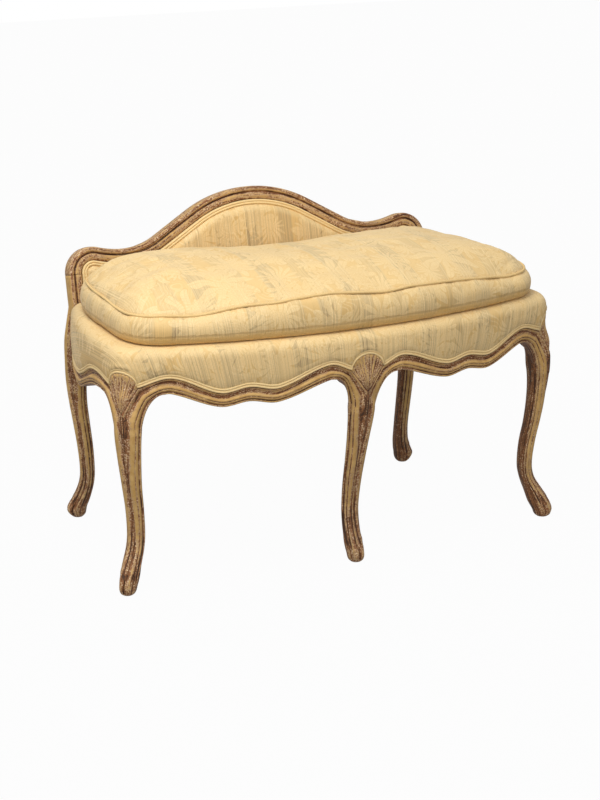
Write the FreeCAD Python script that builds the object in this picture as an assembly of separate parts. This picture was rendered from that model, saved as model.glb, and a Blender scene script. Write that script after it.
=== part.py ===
import FreeCAD
import Part
import math
import os

V = FreeCAD.Vector

# Wooden settee in millimetres. The front faces -Y, the floor is z = 0.

# Seat plan at the face of the show wood: bow, tight corners, long side curves, straight rear.
half_width = 436.0
front_reach = 248.0
rear_reach = 214.0
bow_radius = 1191.0
corner_radius = 47.0
side_radius = 900.0

# Seat rails. Heights along the rails are counted down from the rail top.
seat_height = 438.0
seat_build = 30.0
rail_top = seat_height - seat_build
rail_depth = 30.0
rebate_depth = 10.0
apron_height = 28.0
side_apron_height = 18.0
arch_drop = 22.0
low_drop = 53.0
rise_drop = 46.0
fan_foot_drop = 36.0
fan_top_drop = 11.0
center_fan_half = 32.0
low_half_span = 51.0
center_arch_inset = 42.0
corner_arch_inset = 55.0
side_arch_drop = 29.0
side_low_drop = 74.0
rear_welt_drop = 42.0
rear_apron_height = 26.0
flare_drop = 108.0

# Legs.
ankle_height = 100.0
knee_drop = 123.0
corner_splay = 40.0
rear_splay = 50.0
leg_fullness = 0.62
head_fullness = 0.8
center_head_fullness = 0.9
corner_leg_inset = 27.0
center_leg_inset = 60.7
rear_leg_inset = 23.0
rear_leg_offset = 5.5
rail_end_setback = 21.5

# Pegged mortise and tenon joints.
tenon_thickness = 9.0
tenon_height = 34.0
tenon_length = 20.0
tenon_root = 14.0
tenon_setback = 20.0
tenon_top_drop = 6.0
low_tenon_drop = 46.0
front_shoulder = 16.0
center_shoulder = 27.0
side_shoulder = 22.0
rear_shoulder = 31.0
stile_tenon_half = 7.0
stile_tenon_length = 16.0
tenon_edge = 4.0
joint_gap = 0.2
peg_radius = 3.5
peg_gap = 0.05
peg_length = 24.0

# Braces and corner blocks.
brace_width = 32.0
brace_height = 24.0
brace_stub = 10.0
block_height = 38.0
block_drop = 10.0
block_arm = 62.0
screw_radius = 2.2
screw_head_radius = 4.5
screw_head_height = 3.0
screw_length = 44.0
screw_spacing = 18.0

# Tight seat.
strap_width = 50.0
strap_thickness = 1.6
strap_inset = 13.0
lengthwise_straps = 4
crosswise_straps = 8
tack_head_radius = 4.0
tack_head_height = 0.8
tack_shank_radius = 0.9
tack_shank_length = 9.0
tack_spacing = 16.0
hessian_thickness = 1.0
seat_edge_round = 24.0
cover_thickness = 2.0
cover_proud = 3.0
welt_height = 8.0
welt_inset = 4.0
welt_proud = 4.5
stile_notch = 3.0
stile_clear = 1.0
fabric_gap = 0.3

# Back, laid out flat and then raked about a line at the front of the stiles.
back_rake = 12.0
back_pivot_y = 182.0
back_foot_rise = 22.0
back_pivot_z = rail_top + back_foot_rise
back_thickness = 30.0
back_side_reach = 11.0
crest_rise = 186.0
crest_radius = 250.0
crest_slope = 30.0
dip_rise = 94.0
dip_radius = 130.0
ear_rise = 104.0
ear_radius = 48.0
back_frame_width = 25.0
back_rail_rise = 12.0
back_tongue_width = 15.0
back_tongue_front = 8.0
back_tongue_rear = 24.0
back_welt_width = 8.0
back_welt_front = 3.0
back_pad_front = 6.5
back_strap_pitch = 90.0
outside_cover_thickness = 1.6
outside_welt_height = 5.0

# Loose cushion.
cushion_inset = 28.0
cushion_side_inset = 34.0
cushion_rear_gap = 56.0
cushion_corner = 66.0
cushion_rear_corner = 70.0
cushion_low_seam = 16.0
cushion_boxing = 38.0
cushion_crown = 39.0
cushion_bulge = 16.0
cushion_tuck = 8.0
cushion_skin = 2.0
piping_radius = 2.6
piping_proud = 0.5
rest_gap = 0.3

# Reach of construction slabs beyond the face of the show wood.
cut_reach = 60.0

up = V(0, 0, 1)
nodes = {}


def unit(angle):
    turn = math.radians(angle)
    return V(math.cos(turn), math.sin(turn), 0)


def arc(first, middle, last):
    return Part.Arc(first, middle, last).toShape()


def line(first, last):
    return Part.makeLine(first, last)


def prism(outline, low, high):
    face = Part.Face(outline)
    face.translate(V(0, 0, low))
    return face.extrude(V(0, 0, high - low))


def corner_prism(points, low, high):
    return prism(Part.makePolygon(points + points[:1]), low, high)


def mirrored(shape):
    return shape.mirror(V(0, 0, 0), V(1, 0, 0))


def largest(shape):
    return max(shape.Solids, key=lambda solid: solid.Volume)


def joined(shapes):
    whole = shapes[0].fuse(shapes[1:]) if len(shapes) > 1 else shapes[0]
    return whole.removeSplitter()


def oriented_box(start, along, length, side, thickness, low, high):
    edge = side * (thickness / 2)
    points = [start - edge, start + along * length - edge, start + along * length + edge, start + edge]
    return corner_prism(points, low, high)


class BowPlan:
    """Plan with a bowed front, rounded corners, curved sides and a straight rear."""

    def __init__(self, width, front, rear, bow, corner, side):
        self.rear = rear
        self.bow = bow
        self.corner = corner
        self.side = side
        self.bow_center = V(0, bow - front, 0)
        reach = width - corner
        depth = math.sqrt((bow - corner) ** 2 - reach ** 2)
        self.corner_center = V(reach, self.bow_center.y - depth, 0)
        self.side_center = V(width - side, self.corner_center.y, 0)

    def bow_end(self, offset=0.0):
        heading = (self.corner_center - self.bow_center).normalize()
        return self.bow_center + heading * (self.bow + offset)

    def side_start(self, offset=0.0):
        return self.corner_center + V(self.corner + offset, 0, 0)

    def side_point(self, y, offset=0.0):
        radius = self.side + offset
        rise = y - self.side_center.y
        return V(self.side_center.x + math.sqrt(radius ** 2 - rise ** 2), y, 0)

    def bow_point(self, x, offset=0.0):
        radius = self.bow + offset
        return V(x, self.bow_center.y - math.sqrt(radius ** 2 - x ** 2), 0)

    def corner_point(self, offset=0.0):
        heading = (self.bow_end() + self.side_start()) * 0.5 - self.corner_center
        return self.corner_center + heading.normalize() * (self.corner + offset)

    def half_edges(self, offset, rear, rear_corner):
        bow_end = self.bow_end(offset)
        side_start = self.side_start(offset)
        edges = [arc(side_start, self.corner_point(offset), bow_end)]
        if rear_corner == 0:
            last = self.side_point(rear, offset)
            middle = self.side_point((side_start.y + rear) / 2, offset)
            edges.append(arc(side_start, middle, last))
            return bow_end, edges, last
        radius = self.side + offset - rear_corner
        y = rear - rear_corner
        center = V(self.side_center.x + math.sqrt(radius ** 2 - (y - self.side_center.y) ** 2), y, 0)
        heading = (center - self.side_center).normalize()
        side_end = center + heading * rear_corner
        middle = self.side_point((side_start.y + side_end.y) / 2, offset)
        between = (heading + V(0, 1, 0)).normalize()
        last = center + V(0, rear_corner, 0)
        edges.append(arc(side_start, middle, side_end))
        edges.append(arc(side_end, center + between * rear_corner, last))
        return bow_end, edges, last

    def wire(self, offset=0.0, rear_corner=0.0):
        rear = self.rear + offset
        bow_end, right, last = self.half_edges(offset, rear, rear_corner)
        left = [mirrored(edge) for edge in right]
        front = arc(V(-bow_end.x, bow_end.y, 0), self.bow_point(0, offset), bow_end)
        back = line(last, V(-last.x, last.y, 0))
        return Part.Wire(Part.__sortEdges__([front, back] + right + left))

    def solid(self, offset, low, high):
        return prism(self.wire(offset), low, high)


seat = BowPlan(half_width, front_reach, rear_reach, bow_radius, corner_radius, side_radius)
fan_front = seat.bow_end()
fan_side = seat.side_start()
rear_corner = seat.side_point(rear_reach)
welt_foot = rail_top - fan_foot_drop
welt_arch = rail_top - arch_drop
welt_low = rail_top - low_drop


def curtain(start, along, outward, curve, top, inner, outer):
    """Slab standing on a curve of (distance, height) points and running outward."""
    base = start - outward * inner
    points = [base + along * reach + up * height for reach, height in curve]
    spline = Part.BSplineCurve()
    spline.interpolate(points)
    return curtain_over(spline.toShape(), points[0], points[-1], top, outward * (inner + outer))


def curtain_over(sill, first, last, top, sweep):
    first_top = V(first.x, first.y, top)
    last_top = V(last.x, last.y, top)
    sides = [line(first, first_top), line(first_top, last_top), line(last_top, last)]
    return Part.Face(Part.Wire(Part.__sortEdges__(sill.Edges + sides))).extrude(sweep)


def fan_curtain(first, last, outward, foot, top, ceiling):
    """Slab standing on a round-topped fan between two points of the plan, level beyond them."""
    along = (last - first).normalize()
    shift = outward * -cut_reach
    left = V(first.x, first.y, foot) + shift
    right = V(last.x, last.y, foot) + shift
    middle = (first + last) * 0.5 + up * top + shift
    far_left = left - along * cut_reach
    far_right = right + along * cut_reach
    sill = Part.Wire([line(far_left, left), arc(left, middle, right), line(right, far_right)])
    return curtain_over(sill, far_left, far_right, ceiling, outward * (2 * cut_reach))


ceiling = seat_height + cut_reach
front_middle = (center_fan_half + fan_front.x) / 2
front_welt = [
    (center_fan_half, welt_foot),
    (center_fan_half + center_arch_inset, welt_arch),
    (front_middle - low_half_span, welt_low),
    (front_middle, rail_top - rise_drop),
    (front_middle + low_half_span, welt_low),
    (fan_front.x - corner_arch_inset, welt_arch),
    (fan_front.x, welt_foot),
]
stile_front = back_pivot_y - back_foot_rise * math.sin(math.radians(back_rake)) - stile_clear
side_run = stile_front - fan_side.y
side_welt = [
    (fan_side.y, welt_foot),
    (fan_side.y + 0.16 * side_run, rail_top - side_arch_drop),
    (fan_side.y + 0.31 * side_run, rail_top - side_arch_drop - 5.0),
    (fan_side.y + 0.47 * side_run, rail_top - (side_arch_drop + side_low_drop) / 2 - 3.0),
    (fan_side.y + 0.62 * side_run, rail_top - side_low_drop + 4.0),
    (fan_side.y + 0.80 * side_run, rail_top - side_low_drop),
    (stile_front, rail_top - side_low_drop),
]


def wedge(points):
    return corner_prism(points, 0.0, ceiling + cut_reach)


fan_normal = (fan_front - seat.bow_center).normalize()
fan_outer = fan_front + fan_normal * cut_reach
fan_inner = fan_front - fan_normal * corner_radius
side_outer = fan_side + V(cut_reach, 0, 0)
side_inner = fan_side - V(corner_radius, 0, 0)
corner_along = (fan_side - fan_front).normalize()
corner_out = V(corner_along.y, -corner_along.x, 0)

# Space of the upholstery outside the rail tops and above the welt line, sector by sector.
center_sector = fan_curtain(
    V(-center_fan_half, -front_reach, 0), V(center_fan_half, -front_reach, 0), V(0, -1, 0),
    welt_foot, rail_top - fan_top_drop, ceiling)
center_sector = center_sector.common(wedge([
    V(-center_fan_half, -front_reach - cut_reach, 0), V(center_fan_half, -front_reach - cut_reach, 0),
    V(center_fan_half, cut_reach - front_reach, 0), V(-center_fan_half, cut_reach - front_reach, 0)]))
front_sector = curtain(V(0, 0, 0), V(1, 0, 0), V(0, -1, 0), front_welt, ceiling, 0, front_reach + cut_reach)
front_sector = front_sector.common(wedge([
    V(center_fan_half, -front_reach - cut_reach, 0), fan_outer, fan_inner,
    V(center_fan_half, cut_reach - front_reach, 0)]))
corner_sector = fan_curtain(fan_front, fan_side, corner_out, welt_foot, rail_top - fan_top_drop, ceiling)
corner_sector = corner_sector.common(wedge([
    fan_inner, fan_outer, V(side_outer.x, fan_outer.y, 0), side_outer, side_inner]))
side_sector = curtain(V(0, 0, 0), V(0, 1, 0), V(1, 0, 0), side_welt, ceiling, 0, half_width + cut_reach)
side_sector = side_sector.common(wedge([
    side_inner, side_outer, V(side_outer.x, stile_front, 0), V(side_inner.x - cut_reach, stile_front, 0)]))
stile_inner = rear_corner.x - rear_leg_inset - stile_notch
rear_sector = Part.makeBox(
    2 * stile_inner, 2 * cut_reach, ceiling - rail_top + rear_welt_drop,
    V(-stile_inner, rear_reach - cut_reach, rail_top - rear_welt_drop))
core = seat.solid(-rebate_depth, 0.0, ceiling + cut_reach)
sectors = [center_sector, front_sector, corner_sector, side_sector, rear_sector]
sectors += [mirrored(sector) for sector in (front_sector, corner_sector, side_sector)]
skirt = [sector.cut(core) for sector in sectors]


def section(center, along, half_along, half_across, fullness, height):
    """Closed rounded outline of a leg at one height."""
    across = V(-along.y, along.x, 0)
    points = []
    for step in range(8):
        share = fullness if step % 2 else 1.0
        a = round(math.cos(step * math.pi / 4), 6)
        b = round(math.sin(step * math.pi / 4), 6)
        if step % 2:
            a = math.copysign(1.0, a)
            b = math.copysign(1.0, b)
        reach = along * (a * share * half_along) + across * (b * share * half_across)
        points.append(center + reach + up * height)
    curve = Part.BSplineCurve()
    curve.interpolate(points, PeriodicFlag=True)
    return Part.Wire(curve.toShape())


def front_leg(axis, along, stations):
    """Loft of (height, inner reach, outer reach, half width, fullness) stations."""
    wires = []
    for height, inner, outer, half, fullness in stations:
        center = axis + along * ((inner + outer) / 2)
        wires.append(section(center, along, (outer - inner) / 2, half, fullness, height))
    return Part.makeLoft(wires, True, False)


def shank(share):
    return ankle_height + (rail_top - knee_drop - ankle_height) * share


f = leg_fullness
h = head_fullness
w = center_head_fullness
t = rail_top
corner_stations = [
    (0.0, 23.0, 49.0, 12.0, f),
    (12.0, 18.0, 52.5, 14.0, f),
    (30.0, 8.0, 49.0, 16.5, f),
    (50.0, 0.5, 37.0, 16.5, f),
    (75.0, -9.0, 19.5, 15.8, f),
    (ankle_height, -14.0, 14.0, 15.8, f),
    (shank(9 / 37), -11.0, 18.5, 16.0, f),
    (shank(18 / 37), -3.0, 26.5, 17.2, f),
    (shank(28 / 37), 2.0, 35.0, 20.4, f),
    (t - knee_drop, 1.0, 41.0, 23.5, f),
    (t - 88.0, -6.0, 41.0, 26.0, f),
    (t - 58.0, -16.0, 35.0, 29.5, h),
    (t - 34.0, -24.0, 28.5, 33.0, h),
    (t, -26.0, 27.0, 34.0, h),
]
center_stations = [
    (0.0, 12.0, 36.5, 13.0, f),
    (12.0, 7.0, 40.5, 15.0, f),
    (30.0, -3.5, 36.0, 15.5, f),
    (50.0, -10.5, 25.0, 15.0, f),
    (75.0, -14.0, 16.5, 15.0, f),
    (ankle_height, -15.0, 15.0, 15.5, f),
    (shank(9 / 37), -9.0, 22.5, 16.4, f),
    (shank(18 / 37), 2.0, 33.5, 17.8, f),
    (shank(28 / 37), 12.5, 48.0, 20.0, f),
    (t - knee_drop, 18.0, 61.0, 23.5, f),
    (t - 88.0, 16.0, 66.0, 26.0, f),
    (t - 58.0, 12.0, 65.0, 29.5, h),
    (t - 34.0, 8.0, 61.5, 33.0, w),
    (t, 6.0, 60.7, 34.0, w),
]
rear_stations = [
    (0.0, 16.0, 20.0, 12.0),
    (12.0, 16.0, 20.5, 15.5),
    (30.0, 11.5, 17.0, 17.5),
    (50.0, 5.0, 11.0, 16.2),
    (75.0, 0.5, 3.5, 14.5),
    (ankle_height, 0.0, 0.0, 14.3),
    (shank(9 / 37), 2.5, -2.0, 15.0),
    (shank(18 / 37), 7.0, -0.5, 15.9),
    (shank(27 / 37), 11.0, 4.0, 17.2),
    (shank(36 / 37), 13.0, 3.0, 19.5),
    (t - 88.0, 15.5, -6.5, 22.0),
    (t - 48.0, 18.0, -16.0, 23.5),
    (t, 20.5, -22.0, 23.5),
    (back_pivot_z + 2.0, 20.5, -21.5, 16.0),
]

corner_heading = unit(-corner_splay)
corner_axis = seat.corner_center + corner_heading * (corner_radius - corner_leg_inset)
corner_leg_raw = front_leg(corner_axis, corner_heading, corner_stations)
center_axis = V(0, center_leg_inset - front_reach, 0)
center_leg_raw = front_leg(center_axis, V(0, -1, 0), center_stations)
rear_axis = V(rear_corner.x - rear_leg_inset, rear_reach + rear_leg_offset, 0)
rear_heading = unit(rear_splay)
rear_wires = []
for height, shift_x, shift_y, half in rear_stations:
    place = rear_axis + V(shift_x, shift_y, 0)
    rear_wires.append(section(place, rear_heading, half, half, f, height))
rear_leg_raw = Part.makeLoft(rear_wires, True, False)


# Back frame, laid out flat in x (across), z (up the slope) and y (towards the rear).
back_half = rear_corner.x + back_side_reach
ear_x = back_half - ear_radius
slope = math.radians(crest_slope)
crest_drop = crest_radius * (1 - math.cos(slope))
dip_drop = dip_radius * (1 - math.cos(slope))
run_length = (crest_rise - dip_rise - crest_drop - dip_drop) / math.sin(slope)
run_start = V(crest_radius * math.sin(slope), 0, crest_rise - crest_drop)
run_end = run_start + V(run_length * math.cos(slope), 0, -run_length * math.sin(slope))
dip_x = run_end.x + dip_radius * math.sin(slope)
ear_turn = 2 * math.atan((ear_rise - dip_rise) / (ear_x - dip_x))
far_dip_radius = (ear_x - dip_x) / math.sin(ear_turn) - ear_radius
crest_center = V(0, 0, crest_rise - crest_radius)
dip_center = V(dip_x, 0, dip_rise + dip_radius)
far_dip_center = V(dip_x, 0, dip_rise + far_dip_radius)
ear_center = V(ear_x, 0, ear_rise - ear_radius)


def slope_arc(center, radius, first, last):
    ends = []
    for angle in (first, (first + last) / 2, last):
        ends.append(center + V(radius * math.cos(angle), 0, radius * math.sin(angle)))
    return arc(*ends)


def back_face(offset, bottom):
    """Face bounded by the crest curve set in by an offset, and by a straight bottom."""
    quarter = math.pi / 2
    half = [
        slope_arc(crest_center, crest_radius - offset, quarter, quarter - slope),
        line(run_start - V(math.sin(slope), 0, math.cos(slope)) * offset,
             run_end - V(math.sin(slope), 0, math.cos(slope)) * offset),
        slope_arc(dip_center, dip_radius + offset, -quarter - slope, -quarter),
        slope_arc(far_dip_center, far_dip_radius + offset, -quarter, -quarter + ear_turn),
        slope_arc(ear_center, ear_radius - offset, quarter + ear_turn, 0),
    ]
    if bottom < ear_center.z:
        half.append(line(V(back_half - offset, 0, ear_center.z), V(back_half - offset, 0, bottom)))
    base = line(V(back_half - offset, 0, bottom), V(offset - back_half, 0, bottom))
    edges = half + [mirrored(edge) for edge in half] + [base]
    return Part.Face(Part.Wire(Part.__sortEdges__(edges)))


def back_slab(offset, bottom, front, rear):
    face = back_face(offset, bottom)
    face.translate(V(0, front, 0))
    return face.extrude(V(0, rear - front, 0))


def flat_box(left, right, front, rear, low, high):
    return Part.makeBox(right - left, rear - front, high - low, V(left, front, low))


def raked(shape):
    placed = shape.copy()
    placed.rotate(V(0, 0, 0), V(1, 0, 0), -back_rake)
    placed.translate(V(0, back_pivot_y, back_pivot_z))
    return placed


shoulder = ear_center.z
tongue_offset = back_frame_width + back_tongue_width
panel_low = back_rail_rise + back_frame_width
tongue_low = panel_low + back_tongue_width
face_ring = back_slab(0, shoulder, 0, back_thickness).cut(
    back_slab(back_frame_width, shoulder - 30.0, -5.0, back_thickness + 5.0))
tongue_ring = back_slab(0, shoulder, back_tongue_front, back_tongue_rear).cut(
    back_slab(tongue_offset, shoulder - 30.0, 0, back_thickness))
crest_flat = joined([face_ring, tongue_ring])
stile_left = back_half - back_frame_width
stile_flat = joined([
    flat_box(stile_left, back_half, 0, back_thickness, rail_top - back_pivot_z, shoulder),
    flat_box(back_half - tongue_offset, stile_left, back_tongue_front, back_tongue_rear, panel_low, shoulder)])
lower_flat = joined([
    flat_box(-stile_left, stile_left, 0, back_thickness, back_rail_rise, panel_low),
    flat_box(tongue_offset - back_half, back_half - tongue_offset,
             back_tongue_front, back_tongue_rear, panel_low, tongue_low)])
stile_middle = (stile_left + back_half) / 2
tongue_middle = (back_tongue_front + back_tongue_rear) / 2
crest_tenon = flat_box(stile_middle - stile_tenon_half, stile_middle + stile_tenon_half,
                       tongue_middle - tenon_thickness / 2, tongue_middle + tenon_thickness / 2,
                       shoulder - tenon_edge, shoulder + tenon_length)
crest_mortise = flat_box(stile_middle - stile_tenon_half - joint_gap,
                         stile_middle + stile_tenon_half + joint_gap,
                         tongue_middle - tenon_thickness / 2 - joint_gap,
                         tongue_middle + tenon_thickness / 2 + joint_gap,
                         shoulder - 1.0, shoulder + tenon_length + joint_gap)
lower_tenon = flat_box(stile_left - tenon_edge, stile_left + stile_tenon_length,
                       tongue_middle - tenon_thickness / 2, tongue_middle + tenon_thickness / 2,
                       back_rail_rise + tenon_edge, panel_low - tenon_edge)
lower_mortise = flat_box(stile_left - 1.0, stile_left + stile_tenon_length + joint_gap,
                         tongue_middle - tenon_thickness / 2 - joint_gap,
                         tongue_middle + tenon_thickness / 2 + joint_gap,
                         back_rail_rise + tenon_edge - joint_gap, panel_low - tenon_edge + joint_gap)


# Tenons of the seat rails: start point, heading, low and high end, and the peg through each.
high_tenon = (rail_top - tenon_top_drop - tenon_height, rail_top - tenon_top_drop)
low_tenon = (rail_top - low_tenon_drop - tenon_height, rail_top - low_tenon_drop)


def tenon_pair(point, heading, heights):
    """Tenon and its mortise, starting inside the rail and ending inside the leg."""
    side = V(-heading.y, heading.x, 0)
    start = point - heading * tenon_root
    tenon = oriented_box(start, heading, tenon_root + tenon_length, side, tenon_thickness, *heights)
    mortise = oriented_box(start, heading, tenon_root + tenon_length + joint_gap, side,
                           tenon_thickness + 2 * joint_gap, heights[0] - joint_gap, heights[1] + joint_gap)
    return tenon, mortise


def peg_at(point, heading, heights, inward):
    center = point + heading * (tenon_length * 0.55) + up * ((heights[0] + heights[1]) / 2)
    start = center - inward * 8.0
    peg = Part.makeCylinder(peg_radius, peg_length, start, inward)
    hole = Part.makeCylinder(peg_radius + peg_gap, peg_length + 20.0, start, inward)
    return peg, hole


front_x = corner_axis.x - front_shoulder
front_joint = seat.bow_point(front_x, -tenon_setback)
front_inward = (seat.bow_center - front_joint).normalize()
front_heading = V(front_inward.y, -front_inward.x, 0)
center_joint = seat.bow_point(center_shoulder, -tenon_setback)
center_inward = (seat.bow_center - center_joint).normalize()
center_heading = V(-center_inward.y, center_inward.x, 0)
side_joint = seat.side_point(corner_axis.y + side_shoulder, -tenon_setback)
side_heading = V(0, -1, 0)
rear_side_joint = seat.side_point(rear_axis.y - rear_shoulder, -tenon_setback + 2.0)
rear_joint = V(rear_axis.x + 4.0, rear_reach - rail_depth / 2, 0)

joints = {
    "front": (front_joint, front_heading, high_tenon, front_inward),
    "center": (center_joint, center_heading, high_tenon, center_inward),
    "side": (side_joint, side_heading, high_tenon, V(-1, 0, 0)),
    "rear_side": (rear_side_joint, V(0, 1, 0), low_tenon, V(-1, 0, 0)),
    "rear": (rear_joint, V(1, 0, 0), high_tenon, V(0, -1, 0)),
}
tenons = {}
mortises = {}
pegs = {}
peg_holes = {}
for name, (point, heading, heights, inward) in joints.items():
    tenons[name], mortises[name] = tenon_pair(point, heading, heights)
    pegs[name], peg_holes[name] = peg_at(point, heading, heights, inward)


# Corner blocks and their screws.
block_top = rail_top - block_drop
inner_space = seat.solid(-rail_depth - joint_gap, block_top - block_height, block_top)


def corner_block(reference, arm_one, arm_two, leg):
    raw = corner_prism([reference, arm_one, arm_two], block_top - block_height, block_top)
    return largest(raw.common(inner_space).cut(leg))


def block_screw(face_point, heading, height):
    start = face_point + up * height
    head = Part.makeCylinder(screw_head_radius, screw_head_height, start - heading * screw_head_height, heading)
    shank = Part.makeCylinder(screw_radius, screw_length, start, heading)
    hole = Part.makeCylinder(screw_radius + peg_gap, screw_length + 1.0, start - heading, heading)
    seat_hole = Part.makeCylinder(screw_head_radius + peg_gap, 3 * screw_head_height,
                                  start - heading * (3 * screw_head_height), heading)
    return joined([head, shank]), joined([hole, seat_hole])


front_arm = seat.bow_point(fan_front.x - block_arm, -rail_depth)
side_arm = seat.side_point(fan_side.y + block_arm, -rail_depth)
front_block_raw = corner_block(seat.corner_point(), front_arm, side_arm, corner_leg_raw)
rear_side_arm = seat.side_point(rear_reach - rail_depth - block_arm, -rail_depth)
rear_arm = V(rear_corner.x - rail_depth - block_arm, rear_reach - rail_depth, 0)
rear_block_raw = corner_block(V(rear_corner.x, rear_reach, 0), rear_arm, rear_side_arm, rear_leg_raw)

front_face_point = (front_arm + side_arm) * 0.5
front_screw_heading = (corner_axis - front_face_point).normalize()
rear_face_point = (rear_arm + rear_side_arm) * 0.5
rear_screw_heading = (rear_axis + V(20.0, -20.0, 0) - rear_face_point).normalize()
screw_sets = []
screw_holes = {"front": [], "rear": []}
for name, point, heading in (("front", front_face_point, front_screw_heading),
                             ("rear", rear_face_point, rear_screw_heading)):
    for step in (-0.5, 0.5):
        height = block_top - block_height / 2 + step * screw_spacing
        screw, hole = block_screw(point, heading, height)
        screw_sets.append(screw)
        screw_holes[name].append(hole)


# Legs with their mortises, peg holes and screw holes.
stile = raked(stile_flat)
rear_leg_whole = joined([rear_leg_raw, stile])
rear_leg = rear_leg_whole.fuse(raked(crest_tenon)).cut(
    [mortises["rear_side"], mortises["rear"], raked(lower_mortise), peg_holes["rear_side"],
     peg_holes["rear"]] + screw_holes["rear"])
rear_leg = largest(rear_leg)
corner_leg = largest(corner_leg_raw.cut(
    skirt + [mortises["front"], mortises["side"], peg_holes["front"], peg_holes["side"]]
    + screw_holes["front"]))
center_pair = [mortises["center"], mirrored(mortises["center"])]
center_holes = [peg_holes["center"], mirrored(peg_holes["center"])]
brace_low = rail_top - brace_height - 2.0
brace_front = center_axis.y - 10.0
brace_rear = rear_reach - rail_depth
brace_slot = flat_box(-brace_width / 2 - joint_gap, brace_width / 2 + joint_gap,
                      brace_front - joint_gap, brace_rear + brace_stub + joint_gap,
                      brace_low - joint_gap, rail_top + 1.0)
center_leg = largest(center_leg_raw.cut(skirt + center_pair + center_holes + [brace_slot]))


# Seat rails.
def rail_band(center, radius):
    outside = Part.makeCylinder(radius, rail_top + 10.0, center)
    inside = Part.makeCylinder(radius - rail_depth, rail_top + 20.0, center - up * 5.0)
    ring = outside.cut(inside)
    ring.rotate(center, up, 180)
    return ring


front_low = [
    (18.0, rail_top - flare_drop),
    (24.0, rail_top - flare_drop + 22.0),
    (34.0, welt_arch - apron_height - 15.0),
    (52.0, welt_arch - apron_height - 3.0),
    (center_fan_half + center_arch_inset, welt_arch - apron_height),
    (front_middle - low_half_span, welt_low - apron_height + 3.0),
    (front_middle, rail_top - rise_drop - apron_height + 2.0),
    (front_middle + low_half_span, welt_low - apron_height + 3.0),
    (fan_front.x - corner_arch_inset, welt_arch - apron_height),
    (fan_front.x - 33.0, welt_arch - apron_height - 3.0),
    (fan_front.x - 15.0, welt_arch - apron_height - 15.0),
    (fan_front.x - 5.0, rail_top - flare_drop + 22.0),
    (fan_front.x + 1.0, rail_top - flare_drop),
]
side_arch = rail_top - side_arch_drop - apron_height
side_low = rail_top - side_low_drop - side_apron_height
side_lower_edge = [
    (fan_side.y - 21.0, rail_top - flare_drop),
    (fan_side.y - 14.0, rail_top - flare_drop + 22.0),
    (fan_side.y - 3.0, side_arch - 13.0),
    (fan_side.y + 0.06 * side_run, side_arch - 3.0),
    (fan_side.y + 0.18 * side_run, side_arch),
    (fan_side.y + 0.31 * side_run, side_arch - 4.5),
    (fan_side.y + 0.47 * side_run, side_arch - 19.0),
    (fan_side.y + 0.62 * side_run, side_low + 1.5),
    (fan_side.y + 0.80 * side_run, side_low),
    (rear_axis.y - rail_end_setback, side_low),
]
front_rail = curtain(V(0, 0, 0), V(1, 0, 0), V(0, -1, 0), front_low, rail_top, 0, front_reach + cut_reach)
front_rail = front_rail.common(rail_band(seat.bow_center, bow_radius))
front_rail = largest(front_rail.cut(skirt + [corner_leg_raw, center_leg_raw]))
front_rail = largest(joined([front_rail, tenons["front"], tenons["center"]]).cut(
    [peg_holes["front"], peg_holes["center"]]))
side_rail = curtain(V(0, 0, 0), V(0, 1, 0), V(1, 0, 0), side_lower_edge, rail_top, 0, half_width + cut_reach)
side_rail = side_rail.common(rail_band(seat.side_center, side_radius))
rear_rail = flat_box(-rear_corner.x, rear_corner.x, rear_reach - rail_depth, rear_reach,
                     rail_top - rear_welt_drop - rear_apron_height, rail_top)
side_rail = largest(side_rail.cut(skirt + [corner_leg_raw, rear_leg_whole, rear_rail, mortises["rear"]]))
side_rail = largest(joined([side_rail, tenons["side"], tenons["rear_side"]]).cut(
    [peg_holes["side"], peg_holes["rear_side"]] + screw_holes["front"] + screw_holes["rear"]))
rear_rail = largest(rear_rail.cut(skirt + [rear_leg_whole, mirrored(rear_leg_whole), brace_slot]))
rear_cuts = [peg_holes["rear"], peg_holes["rear_side"], tenons["rear_side"]]
rear_rail = largest(joined([rear_rail, tenons["rear"], mirrored(tenons["rear"])]).cut(
    rear_cuts + [mirrored(cut) for cut in rear_cuts]))
brace = flat_box(-brace_width / 2, brace_width / 2, brace_front, brace_rear + brace_stub,
                 brace_low, rail_top)

nodes["front_left_leg"] = mirrored(corner_leg)
nodes["front_center_leg"] = center_leg
nodes["front_right_leg"] = corner_leg
nodes["rear_left_leg"] = mirrored(rear_leg)
nodes["rear_right_leg"] = rear_leg
nodes["front_left_rail"] = mirrored(front_rail)
nodes["front_right_rail"] = front_rail
nodes["left_side_rail"] = mirrored(side_rail)
nodes["right_side_rail"] = side_rail
nodes["rear_seat_rail"] = rear_rail
nodes["crest_rail"] = raked(crest_flat.cut([crest_mortise, mirrored(crest_mortise)]))
nodes["back_lower_rail"] = raked(joined([lower_flat, lower_tenon, mirrored(lower_tenon)]))
nodes["seat_center_brace"] = brace
front_block = largest(front_block_raw.cut(screw_holes["front"] + [peg_holes["front"], peg_holes["side"]]))
rear_block = largest(rear_block_raw.cut(screw_holes["rear"] + [peg_holes["rear"], peg_holes["rear_side"]]))
nodes["front_left_block"] = mirrored(front_block)
nodes["front_right_block"] = front_block
nodes["rear_left_block"] = mirrored(rear_block)
nodes["rear_right_block"] = rear_block
nodes["block_screws"] = Part.makeCompound(screw_sets + [mirrored(screw) for screw in screw_sets])
peg_shapes = list(pegs.values())
nodes["joint_pegs"] = Part.makeCompound(peg_shapes + [mirrored(peg) for peg in peg_shapes])


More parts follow.
